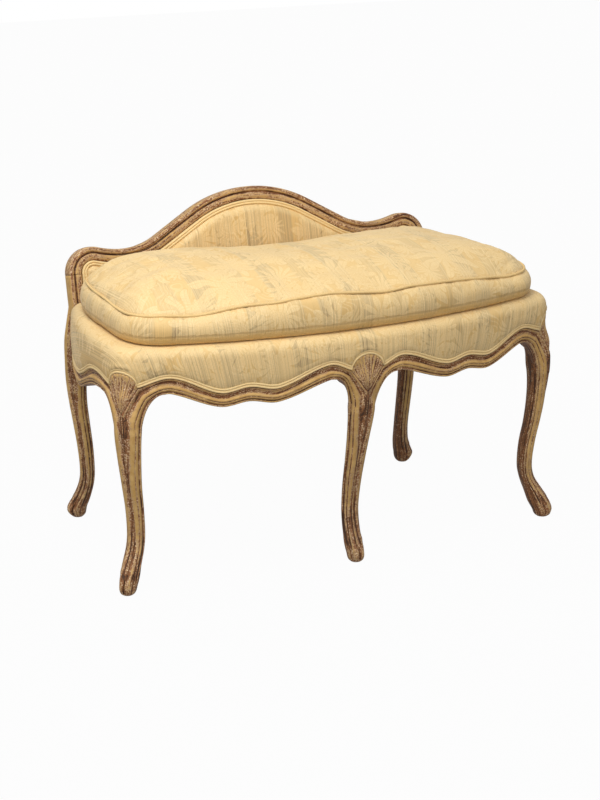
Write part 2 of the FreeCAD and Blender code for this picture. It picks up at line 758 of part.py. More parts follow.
# Webbing on the rail tops, with tacks at each strap end.
strap_space = seat.solid(-strap_inset, rail_top, rail_top + 3 * strap_thickness)
notch_right = flat_box(stile_inner, half_width, stile_front, rear_reach + cut_reach, 0, ceiling + cut_reach)
notches = [notch_right, mirrored(notch_right)]
lengthwise = []
crosswise = []
tacks = []


def tack(x, y, height):
    head = Part.makeCylinder(tack_head_radius, tack_head_height, V(x, y, height))
    shank = Part.makeCone(tack_shank_radius, 0.2, tack_shank_length, V(x, y, height), V(0, 0, -1))
    return joined([head, shank])


first_row = 90.0 - front_reach
row_pitch = (rear_reach - 70.0 - first_row) / (lengthwise_straps - 1)
for row in range(lengthwise_straps):
    y = first_row + row * row_pitch
    strap = flat_box(-half_width, half_width, y - strap_width / 2, y + strap_width / 2,
                     rail_top, rail_top + strap_thickness)
    lengthwise.append(strap.common(strap_space))
    for step in (-1, 0, 1):
        end = seat.side_point(y + step * tack_spacing, -strap_inset - 8.0)
        if end.y < fan_side.y:
            continue
        tacks.append(tack(end.x, end.y, rail_top + strap_thickness))
        tacks.append(tack(-end.x, end.y, rail_top + strap_thickness))
column_pitch = 2 * (stile_inner - strap_width) / (crosswise_straps - 1)
for column in range(crosswise_straps):
    x = strap_width - stile_inner + column * column_pitch
    strap = flat_box(x - strap_width / 2, x + strap_width / 2, -front_reach, rear_reach,
                     rail_top + strap_thickness, rail_top + 2 * strap_thickness)
    crosswise.append(strap.common(strap_space).cut(notches))
    for step in (-1, 0, 1):
        end = seat.bow_point(x + step * tack_spacing, -strap_inset - 8.0)
        tacks.append(tack(end.x, end.y, rail_top + 2 * strap_thickness))
        tacks.append(tack(end.x, rear_reach - strap_inset - 8.0, rail_top + 2 * strap_thickness))
nodes["seat_webbing_lengthwise"] = Part.makeCompound(lengthwise)
nodes["seat_webbing_crosswise"] = Part.makeCompound(crosswise)
nodes["webbing_tacks"] = Part.makeCompound(tacks)


# Tight seat: hessian, stuffing and cover over the rails, double welt along the show wood.
hessian_low = rail_top + 2 * strap_thickness + tack_head_height
stuffing_low = hessian_low + hessian_thickness
nodes["seat_hessian"] = seat.solid(-strap_inset, hessian_low, stuffing_low).cut(notches)


def rounded_seat(offset, top, edge_round):
    block = seat.solid(offset, 0.0, top)
    rim = [edge for edge in block.Edges
           if min(vertex.Z for vertex in edge.Vertexes) > top - 0.01]
    return block.makeFillet(edge_round, rim)


lifted = []
for sector in skirt:
    raised = sector.copy()
    raised.translate(V(0, 0, welt_height + fabric_gap))
    lifted.append(raised)
upper = seat.solid(cover_proud + 20.0, stuffing_low, ceiling)
cover_outer = rounded_seat(cover_proud, seat_height, seat_edge_round)
cover_inner = rounded_seat(cover_proud - cover_thickness, seat_height - cover_thickness,
                           seat_edge_round - cover_thickness)
upholstery_space = joined([upper] + lifted)
nodes["seat_stuffing"] = largest(upholstery_space.common(cover_inner).cut(notches))
nodes["seat_cover"] = largest(upholstery_space.common(cover_outer).cut([cover_inner] + notches))
welt_ring = seat.solid(welt_proud, 0, ceiling).cut(seat.solid(-welt_inset, -5.0, ceiling + 5.0))
welt_pieces = []
for sector in skirt:
    raised = sector.copy()
    raised.translate(V(0, 0, welt_height))
    welt_pieces.append(sector.cut(raised).common(welt_ring).cut(notches))
nodes["seat_double_welt"] = joined(welt_pieces)


# Upholstered back.
pad_edge = back_frame_width + back_welt_width + fabric_gap


def back_ring(outer, inner, front, rear):
    outside = back_slab(outer, panel_low + outer - back_frame_width, front, rear)
    inside = back_slab(inner, panel_low + inner - back_frame_width, front - 5.0, rear + 5.0)
    return outside.cut(inside)


def back_pad(edge, front, rear):
    """Soft pad that rounds off towards its front."""
    wires = []
    for inset, depth in ((0.0, rear), (1.2, front + 4.5), (10.0, front)):
        offset = edge + inset
        bottom = panel_low + pad_edge - back_frame_width + (offset - pad_edge) / 2
        face = back_face(offset, bottom)
        face.translate(V(0, depth, 0))
        wires.append(face.OuterWire)
    return Part.makeLoft(wires, True, False)


strap_front = back_tongue_front - strap_thickness
cross_front = strap_front - strap_thickness
hessian_front = cross_front - hessian_thickness
strap_field = back_slab(pad_edge, panel_low + back_welt_width + fabric_gap, -20.0, 20.0)
columns = int((back_half - pad_edge - strap_width / 2) // back_strap_pitch)
upright = []
for column in range(-columns, columns + 1):
    x = column * back_strap_pitch
    strap = flat_box(x - strap_width / 2, x + strap_width / 2, strap_front, back_tongue_front, 0, crest_rise)
    upright.append(strap.common(strap_field))
level_low = (tongue_low + dip_rise - tongue_offset) / 2
level = flat_box(-back_half, back_half, cross_front, strap_front, level_low, level_low + strap_width * 0.6)
nodes["back_webbing_upright"] = raked(Part.makeCompound(upright))
nodes["back_webbing_level"] = raked(level.common(strap_field))
hessian_face = back_face(pad_edge, panel_low + back_welt_width + fabric_gap)
hessian_face.translate(V(0, hessian_front, 0))
nodes["back_hessian"] = raked(hessian_face.extrude(V(0, hessian_thickness, 0)))
pad_outer = back_pad(pad_edge, -back_pad_front, hessian_front)
pad_inner = back_pad(pad_edge + cover_thickness, cover_thickness - back_pad_front, hessian_front)
nodes["back_stuffing"] = raked(pad_inner)
nodes["inside_back_cover"] = raked(pad_outer.cut(pad_inner))
welt_edge = back_frame_width + fabric_gap
nodes["inside_back_welt"] = raked(back_ring(
    welt_edge, back_frame_width + back_welt_width, -back_welt_front, back_tongue_front))
outside_face = back_face(pad_edge, panel_low + back_welt_width + fabric_gap)
outside_face.translate(V(0, back_tongue_rear, 0))
nodes["outside_back_cover"] = raked(outside_face.extrude(V(0, outside_cover_thickness, 0)))
nodes["outside_back_welt"] = raked(back_ring(
    welt_edge, back_frame_width + back_welt_width, back_tongue_rear, back_tongue_rear + outside_welt_height))


# Loose cushion: filling inside a top panel, a boxing band and a bottom panel, piped top seam.
cushion = BowPlan(half_width - cushion_side_inset, front_reach - cushion_inset, rear_reach - cushion_rear_gap,
                  bow_radius - cushion_inset, cushion_corner, side_radius - cushion_side_inset)
cushion_base = seat_height + rest_gap
low_seam = cushion_base + cushion_low_seam
top_seam = low_seam + cushion_boxing
cushion_middle = V(0, (rear_reach - cushion_rear_gap - front_reach + cushion_inset) / 2, 0)


def cushion_wire(offset, height):
    outline = cushion.wire(offset, cushion_rear_corner + offset)
    outline.translate(V(0, 0, height))
    return outline


def crown_wire(share, height, skin):
    outline = cushion.wire(-skin, cushion_rear_corner - skin)
    outline.scale(share, cushion_middle)
    outline.translate(V(0, 0, height))
    return outline


def cushion_part(levels, skin):
    return Part.makeLoft([cushion_wire(offset - skin, height) for offset, height in levels], True, False)


def crown_levels(skin):
    top = top_seam + cushion_crown - skin
    rise = top - top_seam
    return [(1.0, top_seam), (0.93, top_seam + 0.42 * rise), (0.78, top_seam + 0.76 * rise),
            (0.55, top_seam + 0.95 * rise), (0.3, top)]


def crown(skin):
    return Part.makeLoft([crown_wire(share, height, skin) for share, height in crown_levels(skin)], True, False)


def base_levels(skin):
    bottom = cushion_base + skin
    middle = (bottom + low_seam) / 2 - 1.0
    return [(cushion_bulge - cushion_tuck, bottom), (cushion_bulge - 0.35 * cushion_tuck, middle),
            (cushion_bulge - 0.1 * cushion_tuck, low_seam)]


boxing_levels = [(cushion_bulge - 0.1 * cushion_tuck, low_seam), (cushion_bulge, low_seam + 0.25 * cushion_boxing),
                 (0.7 * cushion_bulge, low_seam + 0.66 * cushion_boxing), (0.0, top_seam)]
top_outer = crown(0)
top_inner = crown(cushion_skin)
boxing_outer = cushion_part(boxing_levels, 0)
boxing_inner = cushion_part(boxing_levels, cushion_skin)
base_outer = cushion_part(base_levels(0), 0)
base_inner = cushion_part(base_levels(cushion_skin), cushion_skin)
piping_path = cushion.wire(piping_proud, cushion_rear_corner + piping_proud)
piping_path.translate(V(0, 0, top_seam))


def piping(radius):
    start = piping_path.Edges[0]
    point = start.valueAt(start.FirstParameter)
    heading = start.tangentAt(start.FirstParameter)
    ring = Part.Wire(Part.makeCircle(radius, point, heading))
    return Part.Solid(piping_path.makePipeShell([ring], True, False))


groove = piping(piping_radius + 0.05)
cord_room = piping(piping_radius + cushion_skin / 2)
nodes["cushion_filling"] = joined([top_inner, boxing_inner, base_inner]).cut(cord_room)
nodes["cushion_top_panel"] = top_outer.cut([top_inner, groove])
nodes["cushion_boxing"] = boxing_outer.cut([boxing_inner, groove])
nodes["cushion_bottom_panel"] = base_outer.cut(base_inner)
nodes["cushion_piping"] = piping(piping_radius)


# The reference point is the middle of the footprint on the floor.
whole = Part.makeCompound(list(nodes.values())).optimalBoundingBox()
shift = V(0, -(whole.YMin + whole.YMax) / 2, 0)
os.makedirs("parts", exist_ok=True)
for name, shape in nodes.items():
    placed = shape.copy()
    placed.translate(shift)
    placed.exportStep("parts/" + name + ".step")
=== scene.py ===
import bpy
import bmesh
from math import asin, atan, atan2, cos, exp, pi, radians, sin, sqrt
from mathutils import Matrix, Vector, noise
from mathutils.bvhtree import BVHTree
from mathutils.kdtree import KDTree


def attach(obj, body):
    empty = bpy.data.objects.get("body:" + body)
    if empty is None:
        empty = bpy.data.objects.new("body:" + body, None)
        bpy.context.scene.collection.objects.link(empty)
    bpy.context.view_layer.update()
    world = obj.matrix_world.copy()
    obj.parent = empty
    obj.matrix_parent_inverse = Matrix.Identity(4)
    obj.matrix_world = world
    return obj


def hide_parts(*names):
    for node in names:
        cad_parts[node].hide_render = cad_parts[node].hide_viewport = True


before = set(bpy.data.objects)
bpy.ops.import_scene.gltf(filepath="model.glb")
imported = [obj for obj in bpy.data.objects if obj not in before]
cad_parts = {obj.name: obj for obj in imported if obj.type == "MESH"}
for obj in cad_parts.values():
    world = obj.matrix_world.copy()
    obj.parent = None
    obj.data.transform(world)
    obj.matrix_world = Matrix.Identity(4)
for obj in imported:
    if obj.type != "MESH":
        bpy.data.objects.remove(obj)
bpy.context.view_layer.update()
mm = 0.001  # meshes are worked out in millimetres and written in metres
up = Vector((0, 0, 1))
print("settee: frame loaded with", len(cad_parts), "nodes")


def mixed(a, b, share):
    return a + (b - a) * share


def eased(low, high, value):
    share = min(max((value - low) / (high - low), 0.0), 1.0)
    return share * share * (3 - 2 * share)


def steps(low, high, count):
    return [low + (high - low) * step / count for step in range(count + 1)]


def heading(angle):
    return Vector((cos(radians(angle)), sin(radians(angle)), 0))


def readCurve(rows, place):
    # smooth values at a place between rows of (place, value, ...)
    last = len(rows) - 1
    step = 0
    while step < last - 1 and place > rows[step + 1][0]:
        step += 1
    here, there = rows[step], rows[step + 1]
    before, after = rows[max(step - 1, 0)], rows[min(step + 2, last)]
    span = there[0] - here[0]
    s = (place - here[0]) / span
    values = []
    for a, p, q, b in zip(before[1:], here[1:], there[1:], after[1:]):
        leave = (q - a) / (there[0] - before[0]) * span
        arrive = (b - p) / (after[0] - here[0]) * span
        values.append(p + leave * s * (1 - s) ** 2 - arrive * s * s * (1 - s) + (q - p) * s * s * (3 - 2 * s))
    return values


# mesh helpers: every swept form is a ring of vertices extruded station by station

def loft(bm, rings, paint=None, weave=None, joined=True, loop=False):
    spot = bm.verts.layers.int.get("spot") or bm.verts.layers.int.new("spot")
    tone = bm.verts.layers.float.get("paint") or bm.verts.layers.float.new("paint")
    cloth = bm.verts.layers.float_vector.get("weave") or bm.verts.layers.float_vector.new("weave")

    if paint and not weave:
        weave = ringWeave(rings, len(rings) // 2)  # worn streaks run along the form

    def settle(verts, row):
        for vert in verts:
            vert.co = rings[row][vert[spot]] * mm
            if paint:
                vert[tone] = paint(row, vert[spot])
            if weave:
                vert[cloth] = weave(row, vert[spot])

    first = [bm.verts.new() for point in rings[0]]
    for step, vert in enumerate(first):
        vert[spot] = step
    settle(first, 0)
    edges = [bm.edges.new(pair) for pair in zip(first, first[1:])]
    if joined:
        edges.append(bm.edges.new((first[-1], first[0])))
    start = edges
    for row in range(1, len(rings)):
        made = bmesh.ops.extrude_edge_only(bm, edges=edges)["geom"]
        verts = {part for part in made if isinstance(part, bmesh.types.BMVert)}
        edges = [part for part in made if isinstance(part, bmesh.types.BMEdge)
                 and part.verts[0] in verts and part.verts[1] in verts]
        settle(verts, row)
    if loop:
        bmesh.ops.bridge_loops(bm, edges=start + edges)
    elif joined:
        bmesh.ops.edgeloop_fill(bm, edges=start)
        bmesh.ops.edgeloop_fill(bm, edges=edges)


def makePiece(name, bm, finish, body="frame", replaced=()):
    bmesh.ops.remove_doubles(bm, verts=bm.verts[:], dist=0.00002)
    bmesh.ops.recalc_face_normals(bm, faces=bm.faces[:])
    spots = bm.verts.layers.int.get("spot")
    if spots:
        bm.verts.layers.int.remove(spots)
    mesh = bpy.data.meshes.new(name)
    bm.to_mesh(mesh)
    bm.free()
    mesh.shade_smooth()
    mesh.materials.append(finish)
    piece = bpy.data.objects.new(name, mesh)
    bpy.context.scene.collection.objects.link(piece)
    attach(piece, body)
    if replaced:
        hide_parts(*replaced)
    return piece


def crossed(v):
    return Vector((-v.x, v.y, v.z))


# the left front leg stands this much nearer the middle than the right one, fading out over these spans
leftLean = dict(shift=4.0, x=(300, 360), y=(-110, -60), z=(290, 370))


def flipped(rings):
    def mirrored(p):
        share = eased(*leftLean["x"], p.x) * (1 - eased(*leftLean["y"], p.y))
        share *= 1 - eased(*leftLean["z"], p.z)
        return Vector((leftLean["shift"] * share - p.x, p.y, p.z))

    return [[mirrored(p) for p in ring] for ring in rings]


def ringWeave(rings, first):
    # surface coordinates: across from the length round one ring, along from the run between rings
    around = [0.0]
    for a, b in zip(rings[first], rings[first][1:]):
        around.append(around[-1] + (b - a).length * mm)
    climb = [[0.0] * len(rings[0])]
    for low, high in zip(rings, rings[1:]):
        climb.append([s + (b - a).length * mm for s, a, b in zip(climb[-1], low, high)])
    return lambda row, spot: (around[spot], climb[row][spot], 0.0)


# node helpers

def addNode(tree, kind, inputs=None, **settings):
    made = tree.nodes.new("ShaderNode" + kind)
    for key, value in settings.items():
        setattr(made, key, value)
    for key, value in (inputs or {}).items():
        if isinstance(value, bpy.types.NodeSocket):
            tree.links.new(value, made.inputs[key])
        else:
            made.inputs[key].default_value = value
    return made


def sums(tree, way, a, b=0.0, c=0.0):
    return addNode(tree, "Math", {0: a, 1: b, 2: c}, operation=way).outputs[0]


def stepped(tree, value, low, high):
    return addNode(tree, "MapRange", {0: value, 1: low, 2: high}, interpolation_type="SMOOTHSTEP").outputs[0]


def shade(tree, share, a, b):
    return addNode(tree, "Mix", {0: share, 6: a, 7: b}, data_type="RGBA").outputs[2]


def maths(tree):
    # short forms for a tree with many maths nodes
    def times(a, b):
        return sums(tree, "MULTIPLY", a, b)

    def timesPlus(a, b, c):
        return sums(tree, "MULTIPLY_ADD", a, b, c)

    def between(value, low, high):
        return stepped(tree, value, low, high)

    return times, timesPlus, between


def grainNoise(tree, spot, scale, detail=4.0, rough=0.6, warp=0.0):
    made = addNode(tree, "TexNoise", {"Vector": spot, "Scale": scale, "Detail": detail, "Roughness": rough,
                                      "Distortion": warp})
    return made.outputs[0]


def stretched(tree, spot, scale):
    return addNode(tree, "Mapping", {"Vector": spot, "Scale": scale}).outputs[0]


def rgb(red, green, blue):
    parts = [value / 255 for value in (red, green, blue)]
    return tuple(p / 12.92 if p <= 0.04045 else ((p + 0.055) / 1.055) ** 2.4 for p in parts) + (1.0,)


def newGroup(name, inputs, outputs):
    tree = bpy.data.node_groups.new(name, "ShaderNodeTree")
    for label, kind in inputs:
        tree.interface.new_socket(label, in_out="INPUT", socket_type="NodeSocket" + kind)
    for label, kind in outputs:
        tree.interface.new_socket(label, in_out="OUTPUT", socket_type="NodeSocket" + kind)
    return tree, tree.nodes.new("NodeGroupInput").outputs, tree.nodes.new("NodeGroupOutput").inputs


def newMaterial(name):
    made = bpy.data.materials.new(name)
    made.use_nodes = True
    tree = made.node_tree
    return made, tree, tree.nodes["Principled BSDF"]


def dress(tree, shader, color, rough, height, strength, distance):
    tree.links.new(color, shader.inputs["Base Color"])
    tree.links.new(rough, shader.inputs["Roughness"])
    bump = addNode(tree, "Bump", {"Height": height, "Strength": strength, "Distance": distance})
    tree.links.new(bump.outputs[0], shader.inputs["Normal"])


# chipped paint over gesso over brown wood, in bands that the carving gives

paintColors = dict(
    coat=rgb(193, 151, 87), coatPale=rgb(211, 173, 111), gesso=rgb(198, 163, 122), flake=rgb(240, 214, 178),
    wood=rgb(142, 95, 59), woodDark=rgb(62, 39, 23))
paintGrain = dict(wide=16.0, patch=85.0, fleck=420.0, streak=(300, 15, 0))
paintWear = dict(patch=0.7, streak=1.4, fleck=1.0, wide=0.3, specks=0.3, grime=0.28)


def makeWornPaint():
    tree, given, out = newGroup(
        "wornPaint", [("Spot", "Vector"), ("Weave", "Vector"), ("Paint", "Float"), ("Loss", "Float")],
        [("Color", "Color"), ("Rough", "Float"), ("Height", "Float")])
    times, timesPlus, between = maths(tree)
    patch = grainNoise(tree, given["Spot"], paintGrain["patch"], 6.0, 0.65)
    streak = grainNoise(tree, stretched(tree, given["Weave"], paintGrain["streak"]), 1.0, 4.0, 0.6)
    fleck = grainNoise(tree, given["Spot"], paintGrain["fleck"], 3.0, 0.6)
    wide = grainNoise(tree, given["Spot"], paintGrain["wide"], 2.0)
    wear = sums(tree, "SUBTRACT", given["Paint"], given["Loss"])
    for mask, key in ((patch, "patch"), (streak, "streak"), (fleck, "fleck"), (wide, "wide")):
        wear = timesPlus(sums(tree, "SUBTRACT", mask, 0.5), paintWear[key], wear)
    ground = between(wear, 0.34, 0.42)
    coat = between(wear, 0.47, 0.57)
    bare = timesPlus(streak, 0.8, wear)
    wood = shade(tree, between(bare, 0.34, 0.66), paintColors["woodDark"], paintColors["wood"])
    paint = shade(tree, between(patch, 0.35, 0.7), paintColors["coat"], paintColors["coatPale"])
    specks = times(between(fleck, 0.52, 0.75), paintWear["specks"])
    paint = shade(tree, specks, paint, paintColors["wood"])
    chalk = shade(tree, between(fleck, 0.52, 0.62), paintColors["gesso"], paintColors["flake"])
    color = shade(tree, coat, shade(tree, ground, wood, chalk), paint)
    grime = times(between(wide, 0.48, 0.8), paintWear["grime"])
    color = shade(tree, grime, color, paintColors["woodDark"])
    rough = timesPlus(fleck, 0.22, 0.52)
    height = timesPlus(fleck, 0.25, sums(tree, "ADD", coat, ground))
    for label, value in (("Color", color), ("Rough", rough), ("Height", height)):
        tree.links.new(value, out[label])
    return tree


wornPaint = makeWornPaint()


def makePaintedWood(name, loss):
    made, tree, shader = newMaterial(name)
    spot = addNode(tree, "TexCoord").outputs["Object"]
    tone = addNode(tree, "Attribute", attribute_name="paint").outputs["Fac"]
    run = addNode(tree, "Attribute", attribute_name="weave").outputs["Vector"]
    worn = addNode(tree, "Group", {"Spot": spot, "Weave": run, "Paint": tone, "Loss": loss},
                   node_tree=wornPaint).outputs
    dress(tree, shader, worn["Color"], worn["Rough"], worn["Height"], 0.5, 0.0006)
    shader.inputs["Specular IOR Level"].default_value = 0.25
    return made


# gold damask: sprays of pale leaves, curled stems and bands of fine dark lines on a gold ground

# plain is a darker gold that paints the shade on the cushion's underside and on its boxing below the low seam
damaskColors = dict(
    ground=rgb(230, 197, 137), gold=rgb(210, 170, 102), leaf=rgb(243, 217, 164), stripe=rgb(205, 187, 147),
    line=rgb(146, 120, 82), plain=rgb(205, 160, 80), thread=rgb(132, 98, 54))
damaskForm = dict(pitch=0.064, ripple=22.0, bend=(0.024, 0.024, 0.0), hatch=1500.0, curl=95.0)
# cells to a metre, leaves in a spray, shift of the layer, length of a leaf
damaskSprays = [(9.0, 9.0, 0.0, 0.054), (13.0, 15.0, 0.37, 0.036), (11.0, 7.0, 0.71, 0.032)]
damaskGrain = dict(lines=(430, 0.35, 1), warp=(760, 2.5, 1), stems=(15, 15, 1), groups=(8, 8, 1),
                   bright=(300, 0.4, 1), tint=(9, 9, 1), thread=(1400, 420, 1))


def makeDamask():
    tree, given, out = newGroup(
        "damask", [("Weave", "Vector"), ("SteepShade", "Float")],
        [("Color", "Color"), ("Height", "Float"), ("Rough", "Float")])
    times, timesPlus, between = maths(tree)
    parts = addNode(tree, "SeparateXYZ", {0: given["Weave"]}).outputs

    def flatNoise(grain, detail=1.0):
        spot = stretched(tree, given["Weave"], damaskGrain[grain])
        made = addNode(tree, "TexNoise", {"Vector": spot, "Scale": 1.0, "Detail": detail},
                       noise_dimensions="2D")
        return made.outputs[0]

    def spray(scale, leaves, shift, tip):
        # pointed leaves of unequal length round the middle of scattered cells: filled, edged
        place = addNode(tree, "Mapping", {"Vector": given["Weave"], "Location": (shift, shift * 0.7, 0),
                                          "Scale": (1, 1, 0)}).outputs[0]
        ripple = addNode(tree, "TexNoise", {"Vector": place, "Scale": damaskForm["ripple"], "Detail": 1.0},
                         noise_dimensions="2D")
        bent = addNode(tree, "VectorMath", {0: ripple.outputs["Color"], 1: damaskForm["bend"], 2: place},
                       operation="MULTIPLY_ADD").outputs[0]
        cell = addNode(tree, "TexVoronoi", {"Vector": bent, "Scale": scale, "Randomness": 0.8},
                       voronoi_dimensions="2D").outputs
        away = addNode(tree, "VectorMath", {0: bent, 1: cell["Position"]}, operation="SUBTRACT").outputs[0]
        offset = addNode(tree, "SeparateXYZ", {0: away}).outputs
        turn = addNode(tree, "SeparateColor", {0: cell["Color"]}).outputs
        angle = sums(tree, "ARCTAN2", offset[1], offset[0])
        angle = times(timesPlus(turn[0], 6.28, angle), leaves / 2)
        reach = addNode(tree, "VectorMath", {0: away}, operation="LENGTH").outputs["Value"]
        petal = sums(tree, "POWER", sums(tree, "ABSOLUTE", sums(tree, "COSINE", angle)), 0.8)
        size = times(petal, timesPlus(turn[1], tip * 0.5, tip * 0.75))
        gap = sums(tree, "SUBTRACT", size, reach)
        filled = between(gap, -0.0010, 0.0014)
        edge = between(sums(tree, "ABSOLUTE", gap), 0.0022, 0.0008)
        rib = between(sums(tree, "ABSOLUTE", sums(tree, "SINE", angle)), 0.10, 0.02)
        hatch = between(sums(tree, "SINE", times(reach, damaskForm["hatch"])), 0.2, 0.9)
        inner = sums(tree, "MAXIMUM", rib, times(hatch, 0.5))
        return filled, sums(tree, "MAXIMUM", edge, times(inner, filled))

    layers = zip(*[spray(*row) for row in damaskSprays])
    leaves, veins = [sums(tree, "MAXIMUM", sums(tree, "MAXIMUM", a, b), c) for a, b, c in layers]
    turns = times(parts[0], 2 * pi / damaskForm["pitch"])
    wide = between(sums(tree, "COSINE", turns), -0.3, 0.1)
    second = sums(tree, "COSINE", timesPlus(turns, 0.5, 0.7))
    clear = timesPlus(leaves, -0.55, 1.0)
    band = times(times(wide, timesPlus(second, 0.3, 0.7)), clear)
    # painted shade: where the cloth hangs down, dark warp lines are painted in and the fine lines grow
    # stronger, and curled stems cross the ground
    lines = times(between(flatNoise("lines"), 0.49, 0.57), timesPlus(band, 0.9, 0.06))
    lines = times(lines, timesPlus(given["SteepShade"], 0.5, 0.5))
    warp = times(between(flatNoise("warp", 2.0), 0.48, 0.62), given["SteepShade"])
    warp = times(warp, timesPlus(band, 0.6, 0.4))
    stems = sums(tree, "SINE", times(flatNoise("stems"), damaskForm["curl"]))
    stems = times(between(stems, 0.35, 0.85), between(flatNoise("groups"), 0.44, 0.58))
    bright = times(between(flatNoise("bright"), 0.58, 0.66), wide)
    tint = between(flatNoise("tint", 3.0), 0.35, 0.7)
    thread = flatNoise("thread")
    # the third weave value marks the cushion's underside and its boxing below the low seam, which get the
    # darker plain gold as painted shade; seam is the sewn line at its edge
    seam = between(sums(tree, "ABSOLUTE", sums(tree, "SUBTRACT", parts[2], 0.5)), 0.3, 0.1)
    # faces that hang down are mixed toward gold as painted shade
    color = damaskColors["ground"]
    for mask, share, tone in (
            (tint, 0.3, "gold"), (given["SteepShade"], 0.6, "gold"), (band, 0.55, "stripe"), (stems, 0.4, "leaf"),
            (leaves, 0.5, "leaf"), (bright, 0.5, "leaf"), (lines, 0.6, "line"), (veins, 0.36, "gold"),
            (between(thread, 0.45, 0.75), 0.25, "gold"), (warp, 0.66, "line"), (parts[2], 0.5, "plain"),
            (seam, 0.3, "thread")):
        color = shade(tree, times(mask, share), color, damaskColors[tone])
    height = timesPlus(leaves, 0.7, times(thread, 0.6))
    for mask, share in ((stems, 0.4), (veins, -0.35), (lines, -0.3), (seam, -1.5)):
        height = timesPlus(mask, share, height)
    rough = timesPlus(leaves, -0.12, 0.74)
    for label, value in (("Color", color), ("Height", height), ("Rough", rough)):
        tree.links.new(value, out[label])
    return tree


damask = makeDamask()


def makeDamaskCloth(name):
    made, tree, shader = newMaterial(name)
    weave = addNode(tree, "Attribute", attribute_name="weave").outputs["Vector"]
    # steepness of the face, which carries painted shade into the damask
    facing = addNode(tree, "SeparateXYZ", {0: addNode(tree, "NewGeometry").outputs["Normal"]}).outputs[2]
    steepShade = stepped(tree, facing, 0.85, 0.1)
    cloth = addNode(tree, "Group", {"Weave": weave, "SteepShade": steepShade}, node_tree=damask).outputs
    dress(tree, shader, cloth["Color"], cloth["Rough"], cloth["Height"], 0.35, 0.0008)
    shader.inputs["Sheen Weight"].default_value = 0.15
    shader.inputs["Sheen Roughness"].default_value = 0.45
    shader.inputs["Sheen Tint"].default_value = rgb(255, 232, 190)
    return made


def makeThreadCloth(name, pale, dark, grain):
    made, tree, shader = newMaterial(name)
    spot = addNode(tree, "TexCoord").outputs["Object"]
    thread = grainNoise(tree, spot, grain, 3.0, 0.7)
    cloudy = grainNoise(tree, spot, 40.0, 3.0)
    color = shade(tree, stepped(tree, thread, 0.35, 0.7), dark, pale)
    color = shade(tree, sums(tree, "MULTIPLY", stepped(tree, cloudy, 0.4, 0.7), 0.35), color, dark)
    dress(tree, shader, color, sums(tree, "MULTIPLY_ADD", thread, 0.2, 0.65), thread, 0.4, 0.0005)
    return made


def makeBareWood(name):
    made, tree, shader = newMaterial(name)
    spot = addNode(tree, "TexCoord").outputs["Object"]
    grain = grainNoise(tree, stretched(tree, spot, (30, 220, 220)), 1.0, 5.0, 0.65, 0.6)
    stain = grainNoise(tree, spot, 18.0, 3.0)
    color = shade(tree, stepped(tree, grain, 0.3, 0.7), rgb(112, 78, 48), rgb(156, 116, 76))
    color = shade(tree, sums(tree, "MULTIPLY", stepped(tree, stain, 0.45, 0.75), 0.5), color, rgb(84, 58, 36))
    dress(tree, shader, color, sums(tree, "MULTIPLY_ADD", grain, 0.2, 0.55), grain, 0.3, 0.0004)
    return made


def makeSteel(name):
    made, tree, shader = newMaterial(name)
    spot = addNode(tree, "TexCoord").outputs["Object"]
    rust = grainNoise(tree, spot, 700.0, 4.0)
    color = shade(tree, stepped(tree, rust, 0.45, 0.7), rgb(120, 118, 114), rgb(92, 62, 44))
    tree.links.new(color, shader.inputs["Base Color"])
    tree.links.new(sums(tree, "MULTIPLY_ADD", rust, 0.4, 0.3), shader.inputs["Roughness"])
    shader.inputs["Metallic"].default_value = 0.8
    return made


paintedWood = makePaintedWood("chipped_paint", 0.03)
carvedWood = makePaintedWood("carved_paint", 0.0)
damaskCloth = makeDamaskCloth("gold_damask")
weltCloth = makeThreadCloth("cream_welt", rgb(250, 226, 172), rgb(228, 194, 132), 1300.0)
pipingCloth = makeThreadCloth("gold_piping", rgb(242, 212, 154), rgb(214, 178, 114), 1300.0)
# dark brown cloth for the cord that paints the shadow under the cushion's piping
seamShadowCloth = makeThreadCloth("brown_seam_shadow", rgb(158, 122, 72), rgb(126, 94, 54), 1600.0)
strapCloth = makeThreadCloth("jute_strap", rgb(168, 136, 92), rgb(112, 84, 50), 900.0)
hessianCloth = makeThreadCloth("brown_hessian", rgb(150, 122, 84), rgb(96, 74, 46), 1100.0)
bareWood = makeBareWood("bare_beech")
rawSteel = makeSteel("dull_steel")
print("settee: finishes made")


# plan of the seat and of the cushion: bowed front, round corners, curved sides, straight rear

seatPlan = dict(half=436.0, front=248.0, rear=214.0, bow=1191.0, corner=47.0, side=900.0)
seatBuild = dict(top=438.0, edge=24.0, railTop=408.0, stileFront=176.4, stileInner=340.5, fanHalf=32.0,
                 foot=372.0, fanTop=397.0, rearWelt=366.0, railDepth=30.0, rebate=10.0)


def planMiddles(plan):
    bowMid = Vector((0, plan["bow"] - plan["front"], 0))
    reach = plan["half"] - plan["corner"]
    drop = sqrt((plan["bow"] - plan["corner"]) ** 2 - reach ** 2)
    cornerMid = Vector((reach, bowMid.y - drop, 0))
    return bowMid, cornerMid, Vector((plan["half"] - plan["side"], cornerMid.y, 0))


bowMid, cornerMid, sideMid = planMiddles(seatPlan)
bowEnd = bowMid + (cornerMid - bowMid).normalized() * seatPlan["bow"]
sideStart = cornerMid + Vector((seatPlan["corner"], 0, 0))
cornerChord = (sideStart - bowEnd).normalized()
cornerHalf = (sideStart - bowEnd).length / 2


def onBow(x):
    place = Vector((x, bowMid.y - sqrt(seatPlan["bow"] ** 2 - x * x), 0))
    return place, (place - bowMid).normalized()


def onSide(y):
    place = Vector((sideMid.x + sqrt(seatPlan["side"] ** 2 - (y - sideMid.y) ** 2), y, 0))
    return place, (place - sideMid).normalized()


